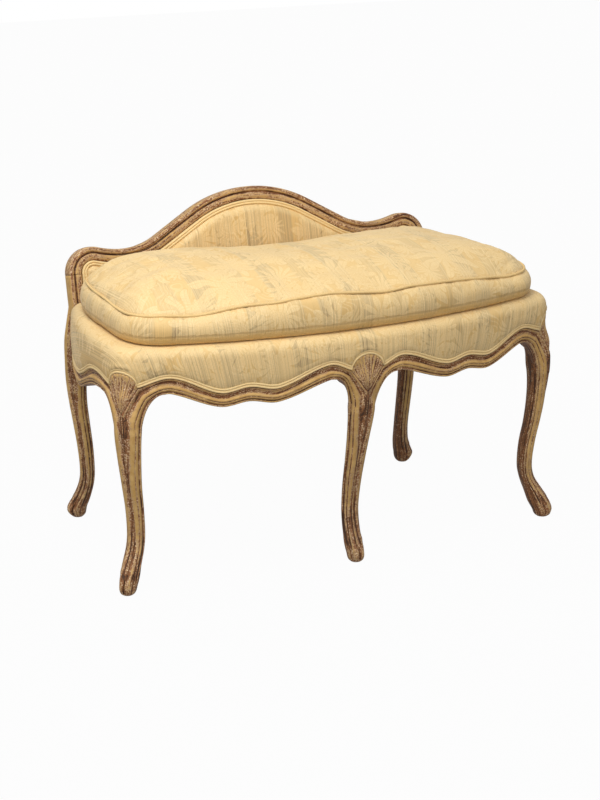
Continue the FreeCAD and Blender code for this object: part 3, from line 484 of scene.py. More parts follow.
# place along the front or the side, height of the welt's foot or of the rail's free edge
frontWelt = [(32, 372), (74, 386), (167.5, 355), (218.5, 362), (269.5, 355), (350, 386), (405, 372)]
frontEdge = [(40, 352), (56, 357), (74, 358), (167.5, 330), (218.5, 336), (269.5, 330), (350, 358),
             (368, 356.5), (384, 351)]
sideWelt = [(-132.8, 372), (-83, 379), (-36, 374), (14, 353.5), (60.5, 338), (117, 334), (176.4, 334)]
sideEdge = [(-118, 347), (-100, 350), (-77, 351), (-36, 346), (14, 330), (60.5, 314), (117, 312), (200, 312)]


def fanHeight(across, half):
    rise = seatBuild["fanTop"] - seatBuild["foot"]
    radius = (half * half + rise * rise) / (2 * rise)
    return seatBuild["fanTop"] - radius + sqrt(radius * radius - across * across)


def weltRuns():
    # stations of (place, outward, height of the welt's foot) along each stretch of the right half
    fan = [onBow(x) + (fanHeight(x, seatBuild["fanHalf"]),) for x in steps(0, seatBuild["fanHalf"], 14)]
    front = [onBow(x) + (readCurve(frontWelt, x)[0],) for x in steps(seatBuild["fanHalf"], bowEnd.x, 64)]
    corner = []
    turn = atan2((bowEnd - cornerMid).y, (bowEnd - cornerMid).x)
    for angle in steps(turn, 0, 18):
        out = Vector((cos(angle), sin(angle), 0))
        place = cornerMid + out * seatPlan["corner"]
        across = (place - (bowEnd + sideStart) / 2).dot(cornerChord)
        corner.append((place, out, fanHeight(max(-cornerHalf, min(cornerHalf, across)), cornerHalf)))
    side = [onSide(y) + (readCurve(sideWelt, y)[0],) for y in steps(sideStart.y, seatBuild["stileFront"], 48)]
    return fan, front, corner, side


fanRun, frontRun, cornerRun, sideRun = weltRuns()

# carved legs: rows of height, inner reach, outer reach and half width along each leg's heading,
# or, on the rear leg, of height, shift to the side, shift to the rear and half width

cornerLeg = dict(
    axis=cornerMid + heading(-40) * (seatPlan["corner"] - 27.0), along=heading(-40),
    joint=285.0, fanFoot=325.0, wear=0.02,
    rows=[(0, 26, 46, 9), (2.5, 22.5, 50, 12), (6, 19.5, 52.3, 13.8), (13, 17, 53.5, 15.2), (30, 7, 49, 16.8),
          (50, -1, 37, 17.4), (75, -10.5, 19.5, 17), (100, -15.5, 14.5, 17), (145, -13.5, 19, 17.4),
          (190, -6, 27.5, 18.8), (240, -1.5, 36.5, 22), (285, -2.5, 43, 25), (320, -10, 43, 27.4),
          (350, -18, 36.5, 29.6), (374, -24, 28.5, 32), (408, -26, 27, 33)])
centerLeg = dict(
    axis=Vector((0, -187.3, 0)), along=Vector((0, -1, 0)), joint=285.0, fanFoot=329.0, wear=0.14,
    rows=[(0, 14.5, 34, 9.5), (2.5, 11, 37.5, 12.5), (6, 8.2, 40, 14.4), (13, 5.8, 41.5, 15.6),
          (30, -4, 36, 16.6), (50, -11, 25, 16.6), (75, -14.5, 16.5, 16.6), (100, -15.5, 15, 16.8),
          (145, -10, 22.5, 18.2), (190, 0.5, 33.5, 19.8), (240, 10, 48, 22.4), (285, 15, 61, 25.6),
          (320, 12, 66, 28), (350, 10, 65, 29.8), (374, 8, 61.5, 32), (408, 6, 60.7, 33)])
rearLeg = dict(
    axis=Vector((343.5, 219.5, 0)), along=heading(-40), joint=440.0, wear=0.06,
    rows=[(0, 16, 20, 9.5), (2.5, 16, 20.2, 12.5), (6, 16.6, 20.6, 15.6), (13, 17.6, 21.4, 18.4),
          (21, 16.6, 20.2, 18.8), (32, 12.2, 17, 18.2), (50, 6, 11, 16.6), (75, 1.5, 3.5, 15.2),
          (100, 1, 0, 15), (145, 4.5, -2, 15.8), (190, 9.5, -0.5, 16.7), (235, 13.5, 4, 18),
          (280, 16, 3, 20.6), (320, 18.5, -6.5, 22.6), (360, 20.5, -14, 22.8), (395, 20.5, -18.5, 18.8),
          (420, 20, -19, 14.5), (440, 20, -19, 11)])
legFinish = dict(channel=0.66, hollow=-3.0, narrow=1.27, slim=0.8, footTop=40.0, footLow=20.0, step=5.0,
                 fine=2.5, roundFoot=2.0, squareShank=1.28, squareBack=0.15, headShrink=0.16, headStep=0.36,
                 groove=-1.3)
# clefts and lobes of the toe: depth, place and width across a face, height and reach up the leg
toeForm = dict(cleft=2.8, cleftWidth=0.1, sideCleft=1.5, sidePlace=0.36, sideWidth=0.09, lobe=1.8,
               lobePlace=0.72, lobeWidth=0.16, lobeHeight=17, lobeReach=9, ankle=1.0, ankleHeight=35,
               ankleReach=4)
# paint left on the foot, in the channel, on the inner faces and in their grooves, and what is lost low down;
# the inner faces are kept nearly bare and dark, partly worn wood and partly painted shade
legTones = dict(foot=0.34, footBed=0.44, bed=0.3, inner=0.16, groove=0.06, lowWear=0.3)
# heights between which a feature comes in or fades out, and the same above the joint with the rails
legSpans = dict(square=(20, 54), head=(294, 326), headTop=(362, 378), shank=(100, 280), narrow=(205, 280),
                toe=(2, 8), toeTop=(28, 40), bed=(40, 120), wear=(50, 150))
jointFade = (5, 38)

# share of the width from the free edge, height off the face, paint left
moulding = [
    (0.0, -1.2, 0.34), (0.02, 0.4, 0.42), (0.06, 1.5, 0.56), (0.1, 1.4, 0.56), (0.135, 0.3, 0.36),
    (0.16, -1.1, 0.06), (0.19, -0.7, 0.3), (0.22, 0.9, 0.66), (0.28, 2.3, 0.76), (0.33, 2.9, 0.74),
    (0.36, 2.3, 0.3), (0.39, 2.4, 0.34), (0.42, 3.2, 0.76), (0.47, 3.3, 0.78), (0.53, 2.9, 0.76),
    (0.58, 1.6, 0.64), (0.62, -0.1, 0.44), (0.65, -1.7, 0.34), (0.7, -2.8, 0.32), (0.76, -3.0, 0.36),
    (0.81, -2.2, 0.36), (0.85, -0.8, 0.36), (0.89, 0.6, 0.5), (0.93, 1.0, 0.56), (0.96, 0.2, 0.2),
    (1.0, -0.8, 0.05)]
bedStart = 0.7  # share of the width where the moulding's hollow is deepest
innerShares = [0.06, 0.12, 0.2, 0.34, 0.5, 0.66, 0.82, 1.0]


def legRow(leg, z):
    # centre, reach along the heading, half width
    values = readCurve(leg["rows"], z)
    if leg is rearLeg:
        return leg["axis"] + Vector((values[0], values[1], z)), values[2], values[2]
    middle = leg["axis"] + leg["along"] * ((values[0] + values[1]) / 2) + up * z
    return middle, (values[1] - values[0]) / 2, values[2]


def legFacePoint(middle, along, across, a, b, t, full):
    # point and outward heading on a face that runs from the side corner (t = 0) to the front corner (t = 1)
    swell = (t ** full + (1 - t) ** full) ** (-1 / full)
    place = middle + (along * (a * t) + across * (b * (1 - t))) * swell
    out = along * (max(t, 0.001) ** (full - 1) / a) + across * (max(1 - t, 0.001) ** (full - 1) / b)
    return place, out.normalized()


def legRing(leg, z):
    middle, a, b = legRow(leg, z)
    along = leg["along"]
    side = Vector((-along.y, along.x, 0))
    form, carved, tint, span = legFinish, toeForm, legTones, legSpans
    depth = eased(form["footLow"], form["footTop"], z)
    depth *= 1 - eased(leg["joint"] + jointFade[0], leg["joint"] + jointFade[1], z)
    full = mixed(form["roundFoot"], form["squareShank"], eased(*span["square"], z))
    if leg is not rearLeg:  # the head steps in behind the rails, the fan and the cloth
        shrink = form["headShrink"] * eased(*span["head"], z)
        inside = 1 - shrink - form["headStep"] * eased(*span["headTop"], z)
        a, b = a * inside, b * inside
    scale = mixed(form["slim"], 1.0, eased(*span["shank"], z))
    narrow = mixed(form["narrow"], 1.0, eased(*span["narrow"], z))
    toe = eased(*span["toe"], z) * (1 - eased(*span["toeTop"], z))
    ankle = carved["ankle"] * exp(-((z - carved["ankleHeight"]) / carved["ankleReach"]) ** 2)
    lobeRise = ((z - carved["lobeHeight"]) / carved["lobeReach"]) ** 2
    bed = mixed(tint["footBed"], tint["bed"], eased(*span["bed"], z))
    worn = leg["wear"] + tint["lowWear"] * (1 - eased(*span["wear"], z))
    edge = form["channel"]
    ring, tones = [], []

    def addFace(across, order):
        for t, height, tone in order:
            hollow = t > edge
            share = 1 - (1 - t) * (1 - edge * narrow) / (1 - edge) if hollow else t * narrow
            lift = (form["hollow"] if t > bedStart else height) * depth * scale
            cleft = carved["cleft"] * exp(-((1 - share) / carved["cleftWidth"]) ** 2)
            cleft += carved["sideCleft"] * exp(-((share - carved["sidePlace"]) / carved["sideWidth"]) ** 2)
            beside = ((share - carved["lobePlace"]) / carved["lobeWidth"]) ** 2
            lobe = carved["lobe"] * exp(-beside - lobeRise)
            place, out = legFacePoint(middle, along, across, a, b, share, full)
            ring.append(place + out * (lift + lobe - cleft * toe - ankle))
            left = bed if hollow else tone - worn
            tones.append(mixed(tint["foot"], left, depth) + 0.06 * lobe - 0.1 * cleft * toe - 0.1 * ankle)

    def addInner(across, order):
        for t in order:
            place, out = legFacePoint(middle, -along, across, a, b, t, full + form["squareBack"])
            # inner faces keep little paint: dark wood that also paints the shade between the legs
            groove = form["groove"] if t == innerShares[1] else 0.0
            ring.append(place + out * (groove * depth))
            tones.append(tint["groove"] if groove else tint["inner"])

    addFace(side, moulding[::-1])
    addInner(side, innerShares)
    addInner(-side, innerShares[-2::-1])
    addFace(-side, moulding[:-1])
    return ring, tones


def buildLeg(leg, mirror, top):
    heights = []
    z = 0.0
    while z < top:
        heights.append(z)
        z += legFinish["fine"] if z < legFinish["footTop"] else legFinish["step"]
    heights.append(top)
    made = [legRing(leg, z) for z in heights]
    rings = [ring for ring, tones in made]
    bm = bmesh.new()
    loft(bm, flipped(rings) if mirror else rings, lambda row, spot: made[row][1][spot])
    return bm


# moulded rails: the profile follows the free edge and runs down the side of each leg

def legSide(leg, hand, z):
    middle, a, b = legRow(leg, z)
    return middle + Vector((-leg["along"].y, leg["along"].x, 0)) * (b * hand)


def legArris(leg, z):
    middle, a, b = legRow(leg, z)
    return middle + leg["along"] * a


flareForm = dict(lead=22.0, drop=38.0, look=12.0, count=26, cusp=0.42, fan=0.86)
railForm = dict(front=(60, 362), side=(-98, 196), turn=(1, 0.35, 0), bulge=2.6, sink=0.5, hollow=-2.8,
                legDepth=14.0, arris=3.0, backShadeTone=0.16)


def flare(leg, hand, start, startAlong, on, welt, first, cusp):
    # stations from the rail onto the leg: free edge, far edge by the welt and the fan, share of the way
    end = legSide(leg, hand, leg["joint"])
    rise = (end - legSide(leg, hand, leg["joint"] - flareForm["look"])).normalized()
    points = [start, start + startAlong * flareForm["lead"], end + rise * flareForm["drop"], end]
    cuspPoint = on(cusp)[0] + up * seatBuild["foot"]
    toCusp, toFan = flareForm["cusp"], flareForm["fan"]
    run = []
    for s in steps(0, 1, flareForm["count"])[1:]:
        weights = [(1 - s) ** 3, 3 * s * (1 - s) ** 2, 3 * s * s * (1 - s), s ** 3]
        near = sum((p * w for p, w in zip(points, weights)), Vector())
        if s < toCusp:
            place = mixed(first, cusp, s / toCusp)
            far = on(place)[0] + up * readCurve(welt, place)[0]
        elif s < toFan:
            far = cuspPoint.lerp(legArris(leg, leg["fanFoot"]), (s - toCusp) / (toFan - toCusp))
        else:
            far = legArris(leg, mixed(leg["fanFoot"], leg["joint"], (s - toFan) / (1 - toFan)))
        run.append((near, far, s))
    return run


def railRun(edge, welt, on, first, last, count):
    run = []
    for place in steps(first, last, count):
        spot = on(place)[0]
        run.append((spot + up * readCurve(edge, place)[0], spot + up * readCurve(welt, place)[0], 0.0))
    return run


def railRings(run):
    rings = []
    for step, (near, far, share) in enumerate(run):
        before, after = run[max(step - 1, 0)], run[min(step + 1, len(run) - 1)]
        tangent = ((after[0] + after[1]) - (before[0] + before[1])).normalized()
        rise = far - near
        out = tangent.cross(rise).normalized()
        bulge = railForm["bulge"] * eased(0.55, 1, share)
        sink = railForm["sink"] * eased(0.8, 1, share)
        hollow = eased(0.7, 0.95, share)
        ring = []
        for t, height, tone in moulding:
            lift = mixed(height, railForm["hollow"], hollow) if t > bedStart else height
            ring.append(near + rise * t + out * (lift + bulge * 4 * t * (1 - t) - sink))
        flat = Vector((out.x, out.y, 0)).normalized()
        depth = mixed(seatBuild["railDepth"], railForm["legDepth"], eased(0.1, 0.8, share))
        ceiling = mixed(seatBuild["railTop"], far.z, eased(0.0, 0.4, share))
        back = far - flat * (seatBuild["rebate"] + 0.5)
        inner = far - flat * depth
        ring += [back, Vector((back.x, back.y, ceiling)), Vector((inner.x, inner.y, ceiling)),
                 near - flat * depth, near - flat * (depth / 2), near - flat * railForm["arris"] - out * 0.2]
        rings.append(ring)
    return rings


# the back, top and underside of each rail keep little paint: dark wood that also paints the shade under the
# seat
def railTone(row, spot):
    return moulding[spot][2] if spot < len(moulding) else railForm["backShadeTone"]


def buildFrontRail():
    first, last = railForm["front"]
    run = railRun(frontEdge, frontWelt, onBow, first, last, 84)
    fore = flare(centerLeg, 1, run[0][0], Vector((-1, 0, 0)), onBow, frontWelt, first, seatBuild["fanHalf"])
    turn = Vector(railForm["turn"]).normalized()
    aft = flare(cornerLeg, -1, run[-1][0], turn, onBow, frontWelt, last, bowEnd.x)
    return railRings(fore[::-1] + run + aft)


def buildSideRail():
    first, last = railForm["side"]
    run = railRun(sideEdge, sideWelt, onSide, first, last, 76)
    fore = flare(cornerLeg, 1, run[0][0], Vector((0, -1, 0)), onSide, sideWelt, first, sideStart.y)
    return railRings(fore[::-1] + run)


# carved fan on each front knee: flutes run out from a point above the channel

fanForm = dict(flutes=11, depth=1.3, rows=18, columns=88, lift=1.4, scallop=0.02, edge=1.2, footEdge=3.0,
               brow=0.8, rim=7.0, back=12.0)
fanTones = dict(ridge=0.46, groove=0.34, brow=0.52, back=0.2)


def fanRings(leg, half, across, middle):
    # middle is the middle of the chord between the two cusps of the welt
    out = Vector((across.y, -across.x, 0))
    foot, cusp = leg["fanFoot"], seatBuild["foot"]
    spread = atan(half / (cusp - foot))
    rise = seatBuild["fanTop"] - cusp
    radius = (half * half + rise * rise) / (2 * rise)
    lift = seatBuild["fanTop"] - radius - foot
    footDepth = (legArris(leg, foot) - middle).dot(out)
    footSlide = (legArris(leg, foot) - middle).dot(across)
    rings, tones = [], []
    for row in range(fanForm["rows"] + 2):
        reach = min(0.06 + 0.94 * row / fanForm["rows"], 1.0)
        rim = row > fanForm["rows"]
        front, back, tone = [], [], []
        for angle in steps(-spread, spread, fanForm["columns"]):
            ray = lift * cos(angle) + sqrt(max(radius ** 2 - (lift * sin(angle)) ** 2, 0))
            flute = abs(cos(angle / spread * fanForm["flutes"] * pi / 2))
            length = ray * reach * (1 - fanForm["scallop"] * (1 - flute) * reach)
            x, z = length * sin(angle), foot + length * cos(angle)
            share = abs(angle) / spread
            climb = min((z - foot) / (cusp - foot), 1.0)
            border = mixed(footDepth, 0.0, climb)
            crest = (legArris(leg, z) - middle).dot(out)
            carve = fanForm["depth"] * (flute ** 0.7 - 0.5) * eased(0.05, 0.45, reach)
            hump = fanForm["lift"] * (1 - share * share) * eased(0.1, 0.5, reach)
            edge = fanForm["edge"] * eased(0.85, 1.0, share)
            edge += fanForm["footEdge"] * (1 - eased(0.0, 0.3, reach))
            brow = fanForm["brow"] * eased(0.84, 0.92, reach)
            depth = mixed(crest, border, share * share) + carve * (1 - share ** 6) + hump + brow - edge
            base = middle + across * (x + footSlide * (1 - climb)) + up * z
            front.append(base + out * (depth - (fanForm["rim"] if rim else 0.0)))
            back.append(base + out * (depth - fanForm["back"]))
            cut = fanTones["ridge"] - fanTones["groove"] * (1 - flute) ** 3
            tone.append(mixed(cut, fanTones["brow"], eased(0.86, 0.94, reach)))
        rings.append(front + back[::-1])
        tones.append(tone + [fanTones["back"]] * len(back))
    return rings, tones


def addFan(bm, leg, mirror):
    across = cornerChord if leg is cornerLeg else Vector((1, 0, 0))
    half = cornerHalf if leg is cornerLeg else seatBuild["fanHalf"]
    middle = (bowEnd + sideStart) / 2 if leg is cornerLeg else Vector((0, onBow(half)[0].y, 0))
    rings, tones = fanRings(leg, half, across, middle)
    loft(bm, flipped(rings) if mirror else rings, lambda row, spot: tones[row][spot])


# back frame, laid out flat and raked: stations of place and inward heading from the crest to the stile foot

backForm = dict(rake=12.0, pivotY=182.0, pivotZ=430.0, half=377.5, crestRise=186.0, crest=250.0, slope=30.0,
                dipRise=94.0, dip=130.0, earRise=104.0, ear=48.0, frame=25.0, low=37.0, stileFoot=-26.0,
                earJoint=0.4, stileTone=0.8)


def rakedPoint(x, depth, rise):
    c, s = cos(radians(backForm["rake"])), sin(radians(backForm["rake"]))
    return Vector((x, backForm["pivotY"] + depth * c + rise * s, backForm["pivotZ"] - depth * s + rise * c))


def backOutline():
    slope = radians(backForm["slope"])
    crest, dip, ear = backForm["crest"], backForm["dip"], backForm["ear"]
    drop = (crest + dip) * (1 - cos(slope))
    runLength = (backForm["crestRise"] - backForm["dipRise"] - drop) / sin(slope)
    runX = crest * sin(slope)
    runZ = backForm["crestRise"] - crest * (1 - cos(slope))
    endX, endZ = runX + runLength * cos(slope), runZ - runLength * sin(slope)
    dipX = endX + dip * sin(slope)
    earX = backForm["half"] - ear
    turn = 2 * atan((backForm["earRise"] - backForm["dipRise"]) / (earX - dipX))
    farDip = (earX - dipX) / sin(turn) - ear
    stations = []

    def addArc(x, z, radius, first, last, count, inward):
        for angle in steps(first, last, count):
            way = Vector((cos(angle), 0, sin(angle)))
            stations.append((Vector((x, 0, z)) + way * radius, way * inward))

    addArc(0, backForm["crestRise"] - crest, crest, pi / 2, pi / 2 - slope, 26, -1)
    fall = Vector((-sin(slope), 0, -cos(slope)))
    for s in steps(0, 1, 6)[1:-1]:
        stations.append((Vector((mixed(runX, endX, s), 0, mixed(runZ, endZ, s))), fall))
    addArc(dipX, backForm["dipRise"] + dip, dip, -pi / 2 - slope, -pi / 2, 14, 1)
    addArc(dipX, backForm["dipRise"] + farDip, farDip, -pi / 2, -pi / 2 + turn, 10, 1)
    addArc(earX, backForm["earRise"] - ear, ear, pi / 2 + turn, 0, 26, -1)
    return stations


outline = backOutline()
shoulder = backForm["earRise"] - backForm["ear"]

# inset from the outline, depth behind the front, paint left
crestSection = [
    (0.2, 14, 0.5), (0.0, 7, 0.48), (0.7, 3, 0.44), (2.2, 0.8, 0.38), (4.4, -0.4, 0.34), (6.6, -0.2, 0.42),
    (8.4, 0.9, 0.6), (9.4, 2.8, 0.1), (10.8, 3.6, 0.02), (12, 2.8, 0.1), (12.8, 1.2, 0.46), (14.6, 0.3, 0.52),
    (17.5, 0.1, 0.42), (20.5, 0.8, 0.52), (23, 2.0, 0.42), (25, 3.6, 0.1), (25.3, 9, 0.15), (25.2, 26, 0.3),
    (23.5, 29, 0.4), (18, 30.2, 0.45), (8, 30.2, 0.45), (2.6, 29, 0.42), (0.6, 26, 0.46), (0.1, 20, 0.46)]


def backRings(stations, mirror):
    rings = []
    for place, inward in stations:
        ring = []
        for inset, depth, tone in crestSection:
            spot = place + inward * inset
            ring.append(rakedPoint(-spot.x if mirror else spot.x, depth, spot.z))
        rings.append(ring)
    return rings


def sectionTone(row, spot):
    return crestSection[spot][2]


def stileTone(row, spot):
    # the outer side of each stile has kept its paint
    inset, depth, tone = crestSection[spot]
    return backForm["stileTone"] if inset < 1 and depth > 2 else tone


legTops = dict(front=404.0, rear=436.0)
legParts = [
    ("front_left_leg", cornerLeg, True), ("front_center_leg", centerLeg, False),
    ("front_right_leg", cornerLeg, False), ("rear_left_leg", rearLeg, True),
    ("rear_right_leg", rearLeg, False)]
for node, leg, mirror in legParts:
    bm = buildLeg(leg, mirror, legTops["rear"] if leg is rearLeg else legTops["front"])
    if leg is rearLeg:
        heights = steps(shoulder - backForm["earJoint"], backForm["stileFoot"], 16)
        stile = [(Vector((backForm["half"], 0, z)), Vector((-1, 0, 0))) for z in heights]
        loft(bm, backRings(stile, mirror), stileTone)
    else:
        addFan(bm, leg, mirror)
    makePiece("carved_" + node, bm, carvedWood, replaced=(node,))
print("settee: legs carved")

for hand, mirror in (("left", True), ("right", False)):
    for node, rings in (("front_%s_rail" % hand, buildFrontRail()), ("%s_side_rail" % hand, buildSideRail())):
        bm = bmesh.new()
        loft(bm, flipped(rings) if mirror else rings, railTone)
        makePiece("moulded_" + node, bm, paintedWood, replaced=(node,))

bm = bmesh.new()
crestRun = [(crossed(p), crossed(i)) for p, i in outline[:0:-1]] + outline
loft(bm, backRings(crestRun, False), sectionTone)
makePiece("moulded_crest_rail", bm, paintedWood, replaced=("crest_rail",))

# straight rails at the rear: a level one and a raked one, with rounded arrises
rearBar = dict(half=352.0, low=340.0, high=408.0, front=184.0, back=214.0, ease=4.0, tone=0.45)
lowerBar = dict(half=353.0, low=12.0, high=37.0, front=0.5, back=29.5, ease=3.5, tone=0.45)


def levelPoint(x, y, z):
    return Vector((x, y, z))


def barRings(bar, place):
    ease = bar["ease"]
    front, back = bar["front"] + ease, bar["back"] - ease
    low, high = bar["low"] + ease, bar["high"] - ease
    rings = []
    for x in steps(-bar["half"], bar["half"], 24):
        ring = []
        for y, z, first in ((front, low, 180), (back, low, 270), (back, high, 0), (front, high, 90)):
            for angle in steps(first, first + 90, 4):
                ring.append(place(x, y + ease * cos(radians(angle)), z + ease * sin(radians(angle))))
        rings.append(ring)
    return rings


for name, node, bar, place in (("rear_rail_bar", "rear_seat_rail", rearBar, levelPoint),
                               ("lower_back_bar", "back_lower_rail", lowerBar, rakedPoint)):
    bm = bmesh.new()
    loft(bm, barRings(bar, place), lambda row, spot: bar["tone"])
    makePiece(name, bm, paintedWood, replaced=(node,))
print("settee: rails moulded")

# double welt: two round ridges side by side along the edge of the upholstery

weltForm = dict(radius=2.2, pitch=4.5, lift=1.3, back=3.0, lap=0.3, gap=0.4, inside=2.0, outside=26.5)


def weltSection():
    radius, back, lap = weltForm["radius"], weltForm["back"], weltForm["lap"]
    points = [(-lap, -back)]
    for ridge in (0, 1):
        middle = radius + ridge * weltForm["pitch"]
        for angle in steps(190, -10, 7):
            turn = radians(angle)
            points.append((middle + radius * cos(turn), weltForm["lift"] + radius * sin(turn)))
    points.append((weltForm["pitch"] + 2 * radius + lap, -back))
    return points


def weltRings(run):
    rings = []
    last = len(run) - 1
    for step, (place, out) in enumerate(run):
        tangent = (run[min(step + 1, last)][0] - run[max(step - 1, 0)][0]).normalized()
        rise = out.cross(tangent).normalized()
        ends = min(step, last - step)
        if ends < 3:  # stretches meet on an upright line
            rise = rise.lerp(up, 1 - ends / 3).normalized()
        rings.append([place + rise * d + out * h for d, h in weltSection()])
    return rings


bm = bmesh.new()
centerRun = [(p + up * z, o) for p, o, z in fanRun]
loft(bm, weltRings([(crossed(p), crossed(o)) for p, o in centerRun[:0:-1]] + centerRun))
for run in (frontRun, cornerRun, sideRun):
    rings = weltRings([(p + up * z, o) for p, o, z in run])
    loft(bm, rings)
    loft(bm, flipped(rings))
rearRun = []
for x in steps(seatBuild["stileInner"], -seatBuild["stileInner"], 40):
    rearRun.append((Vector((x, seatPlan["rear"], seatBuild["rearWelt"])), Vector((0, 1, 0))))
loft(bm, weltRings(rearRun))
makePiece("seat_piped_welt", bm, weltCloth, replaced=("seat_double_welt",))


def panelWelt(name, node, depth, facing):
    bm = bmesh.new()
    half = [(p + i * (backForm["frame"] + weltForm["gap"]), i) for p, i in outline]
    foot = Vector((half[-1][0].x, 0, backForm["low"] + weltForm["gap"]))
    half += [(mixed(half[-1][0], foot, s), Vector((-1, 0, 0))) for s in steps(0, 1, 6)[1:]]
    rings = []
    for place, inward in [(crossed(p), crossed(i)) for p, i in half[:0:-1]] + half:
        ring = []
        for d, h in weltSection():
            spot = place + inward * d
            ring.append(rakedPoint(spot.x, depth - facing * h, spot.z))
        rings.append(ring)
    loft(bm, rings)
    level = []
    for x in steps(-half[-1][0].x, half[-1][0].x, 30):
        level.append([rakedPoint(x, depth - facing * h, foot.z + d) for d, h in weltSection()])
    loft(bm, level)
    makePiece(name, bm, weltCloth, replaced=(node,))


panelWelt("inside_piped_welt", "inside_back_welt", weltForm["inside"], 1)
panelWelt("outside_piped_welt", "outside_back_welt", weltForm["outside"], -1)
print("settee: welts sewn")

# tight seat: cloth from the welt up over a round edge and across the top

seatPad = dict(proud=3.2, tuck=6.5, wall=9.0, bed=4.8, middle=(0, -17, 0), notchOut=0.05, rearTurn=55.0,
               ridge=3.2, ridgeEnd=9.0)
# shares of the plan underneath, share of the way up and swell of the side,
# share of the plan and of the ridge on top
seatRows = dict(
    under=(0.02, 0.5, 0.9), side=((0.0, 1.2), (0.08, 3.2), (0.3, 4.6), (0.6, 4.8), (0.85, 4.0)),
    top=((0.94, 0.5), (0.85, 0.0), (0.7, 0.0), (0.5, 0.0), (0.25, 0.0), (0.02, 0.0)))


def seatStations():
    right = fanRun + frontRun[1:] + cornerRun[1:] + sideRun[1:]
    inner, front = seatBuild["stileInner"], seatBuild["stileFront"]
    corner = right[-1]
    notch = []
    for s in steps(0, 1, 6)[1:]:
        out = corner[1] * (1 - s) + Vector((0, seatPad["notchOut"], 0))
        notch.append((Vector((mixed(corner[0].x, inner, s), front, 0)), out, corner[2]))
    for s in steps(0, 1, 6)[1:]:
        place = Vector((inner, mixed(front, seatPlan["rear"], s), 0))
        notch.append((place, Vector((seatPad["notchOut"], 0, 0)), seatBuild["rearWelt"]))
    rear = []
    for x in steps(inner, 0, 24)[1:]:
        turn = 1 - eased(inner - seatPad["rearTurn"], inner, x)
        rear.append((Vector((x, seatPlan["rear"], 0)), Vector((0, turn, 0)), seatBuild["rearWelt"]))
    half = right + notch + rear
    return half + [(crossed(p), crossed(o), z) for p, o, z in half[-2:0:-1]]


def seatRings():
    stations = seatStations()
    middle = Vector(seatPad["middle"])
    tuck, wall = seatPad["tuck"], seatPad["wall"]
    top, edge = seatBuild["top"], seatBuild["edge"]
    low = seatBuild["railTop"] + seatPad["bed"]
    rings = []
    for share in seatRows["under"]:
        rings.append([middle + (p - middle) * share + up * low for p, o, z in stations])
    rings.append([p - o * wall + up * low for p, o, z in stations])
    rings.append([p - o * wall + up * (z + tuck) for p, o, z in stations])
    for lift, proud in seatRows["side"]:
        rings.append([p + o * proud + up * mixed(z + tuck, top - edge, lift) for p, o, z in stations])
    # the cloth rises a little along the rear, where it meets the lower rail of the back
    rearEnd = seatPlan["rear"] - seatPad["ridgeEnd"]
    ridge = [seatPad["ridge"] * eased(seatBuild["stileFront"], rearEnd, p.y) for p, o, z in stations]
    for angle in steps(0, 90, 7):
        inset = edge * (1 - cos(radians(angle)))
        climb = sin(radians(angle))
        rings.append([p + o * (seatPad["proud"] - inset) + up * (top - edge * (1 - climb) + rise * climb)
                      for (p, o, z), rise in zip(stations, ridge)])
    crest = [p + o * (seatPad["proud"] - edge) for p, o, z in stations]
    for share, left in seatRows["top"]:
        rings.append([middle + (p - middle) * share + up * (top + rise * left)
                      for p, rise in zip(crest, ridge)])
    return rings


def seatWeave(rings, crest):
    # one piece of cloth: flat on the top, then folded down over the crest row
    outward = [o for p, o, z in seatStations()]
    measure = ringWeave(rings, crest)

    def laid(row, spot):
        point = rings[max(row, crest)][spot] * mm
        drop = max(measure(crest, spot)[1] - measure(row, spot)[1], 0.0)
        return (point.x + outward[spot].x * drop, point.y + outward[spot].y * drop, 0.0)

    return laid


rings = seatRings()
bm = bmesh.new()
loft(bm, rings, weave=seatWeave(rings, len(rings) - len(seatRows["top"]) - 1))
tightSeat = makePiece("tight_seat", bm, damaskCloth, replaced=("seat_cover", "seat_stuffing"))

# padded back panels

panelForm = dict(inset=32.6, roll=16.0, topRoll=0.9, columns=90, rows=26)
# piece, nodes, depth of the face and of the back behind the front of the frame, swell of the face
panels = [("inside_back_pad", ("inside_back_cover", "back_stuffing"), 3.5, 6.2, -9.5),
          ("outside_back_cloth", ("outside_back_cover",), 24.5, 23.6, 1.6)]


def panelTop(x, edge):
    points = [p + i * edge for p, i in outline]
    for a, b in zip(points, points[1:]):
        if x <= b.x:
            return mixed(a.z, b.z, max(x - a.x, 0) / (b.x - a.x))
    return points[-1].z


def panelRings(face, back, crown):
    edge = panelForm["inset"]
    half = backForm["half"] - edge
    low = backForm["low"] + edge - backForm["frame"]
    xs = [half * sin(pi / 2 * s) for s in steps(-1, 1, panelForm["columns"])]

    def panelRow(rise, faced):
        ring = []
        for x in xs:
            top = panelTop(abs(x), edge)
            z = mixed(low, top, rise)
            inset = min(half - abs(x), z - low, (top - z) * panelForm["topRoll"])
            puff = 1 - (1 - min(inset / panelForm["roll"], 1)) ** 2
            ring.append(rakedPoint(x, face + crown * puff if faced else back, z))
        return ring

    rings = [panelRow(rise, False) for rise in (1.0, 0.5, 0.0)]
    return rings + [panelRow(rise, True) for rise in steps(0, 1, panelForm["rows"])]


for name, nodes, face, back, crown in panels:
    rings = panelRings(face, back, crown)
    laid = [[(p.x * mm, p.z * mm, 0.0) for p in ring] for ring in rings]
    bm = bmesh.new()
    loft(bm, rings, weave=lambda row, spot: laid[row][spot], joined=False)
    bmesh.ops.holes_fill(bm, edges=[e for e in bm.edges if e.is_boundary], sides=0)
    piece = makePiece(name, bm, damaskCloth, replaced=nodes)
print("settee: seat and back covered")

# loose cushion: swollen by a short cloth run, then piped along its top seam

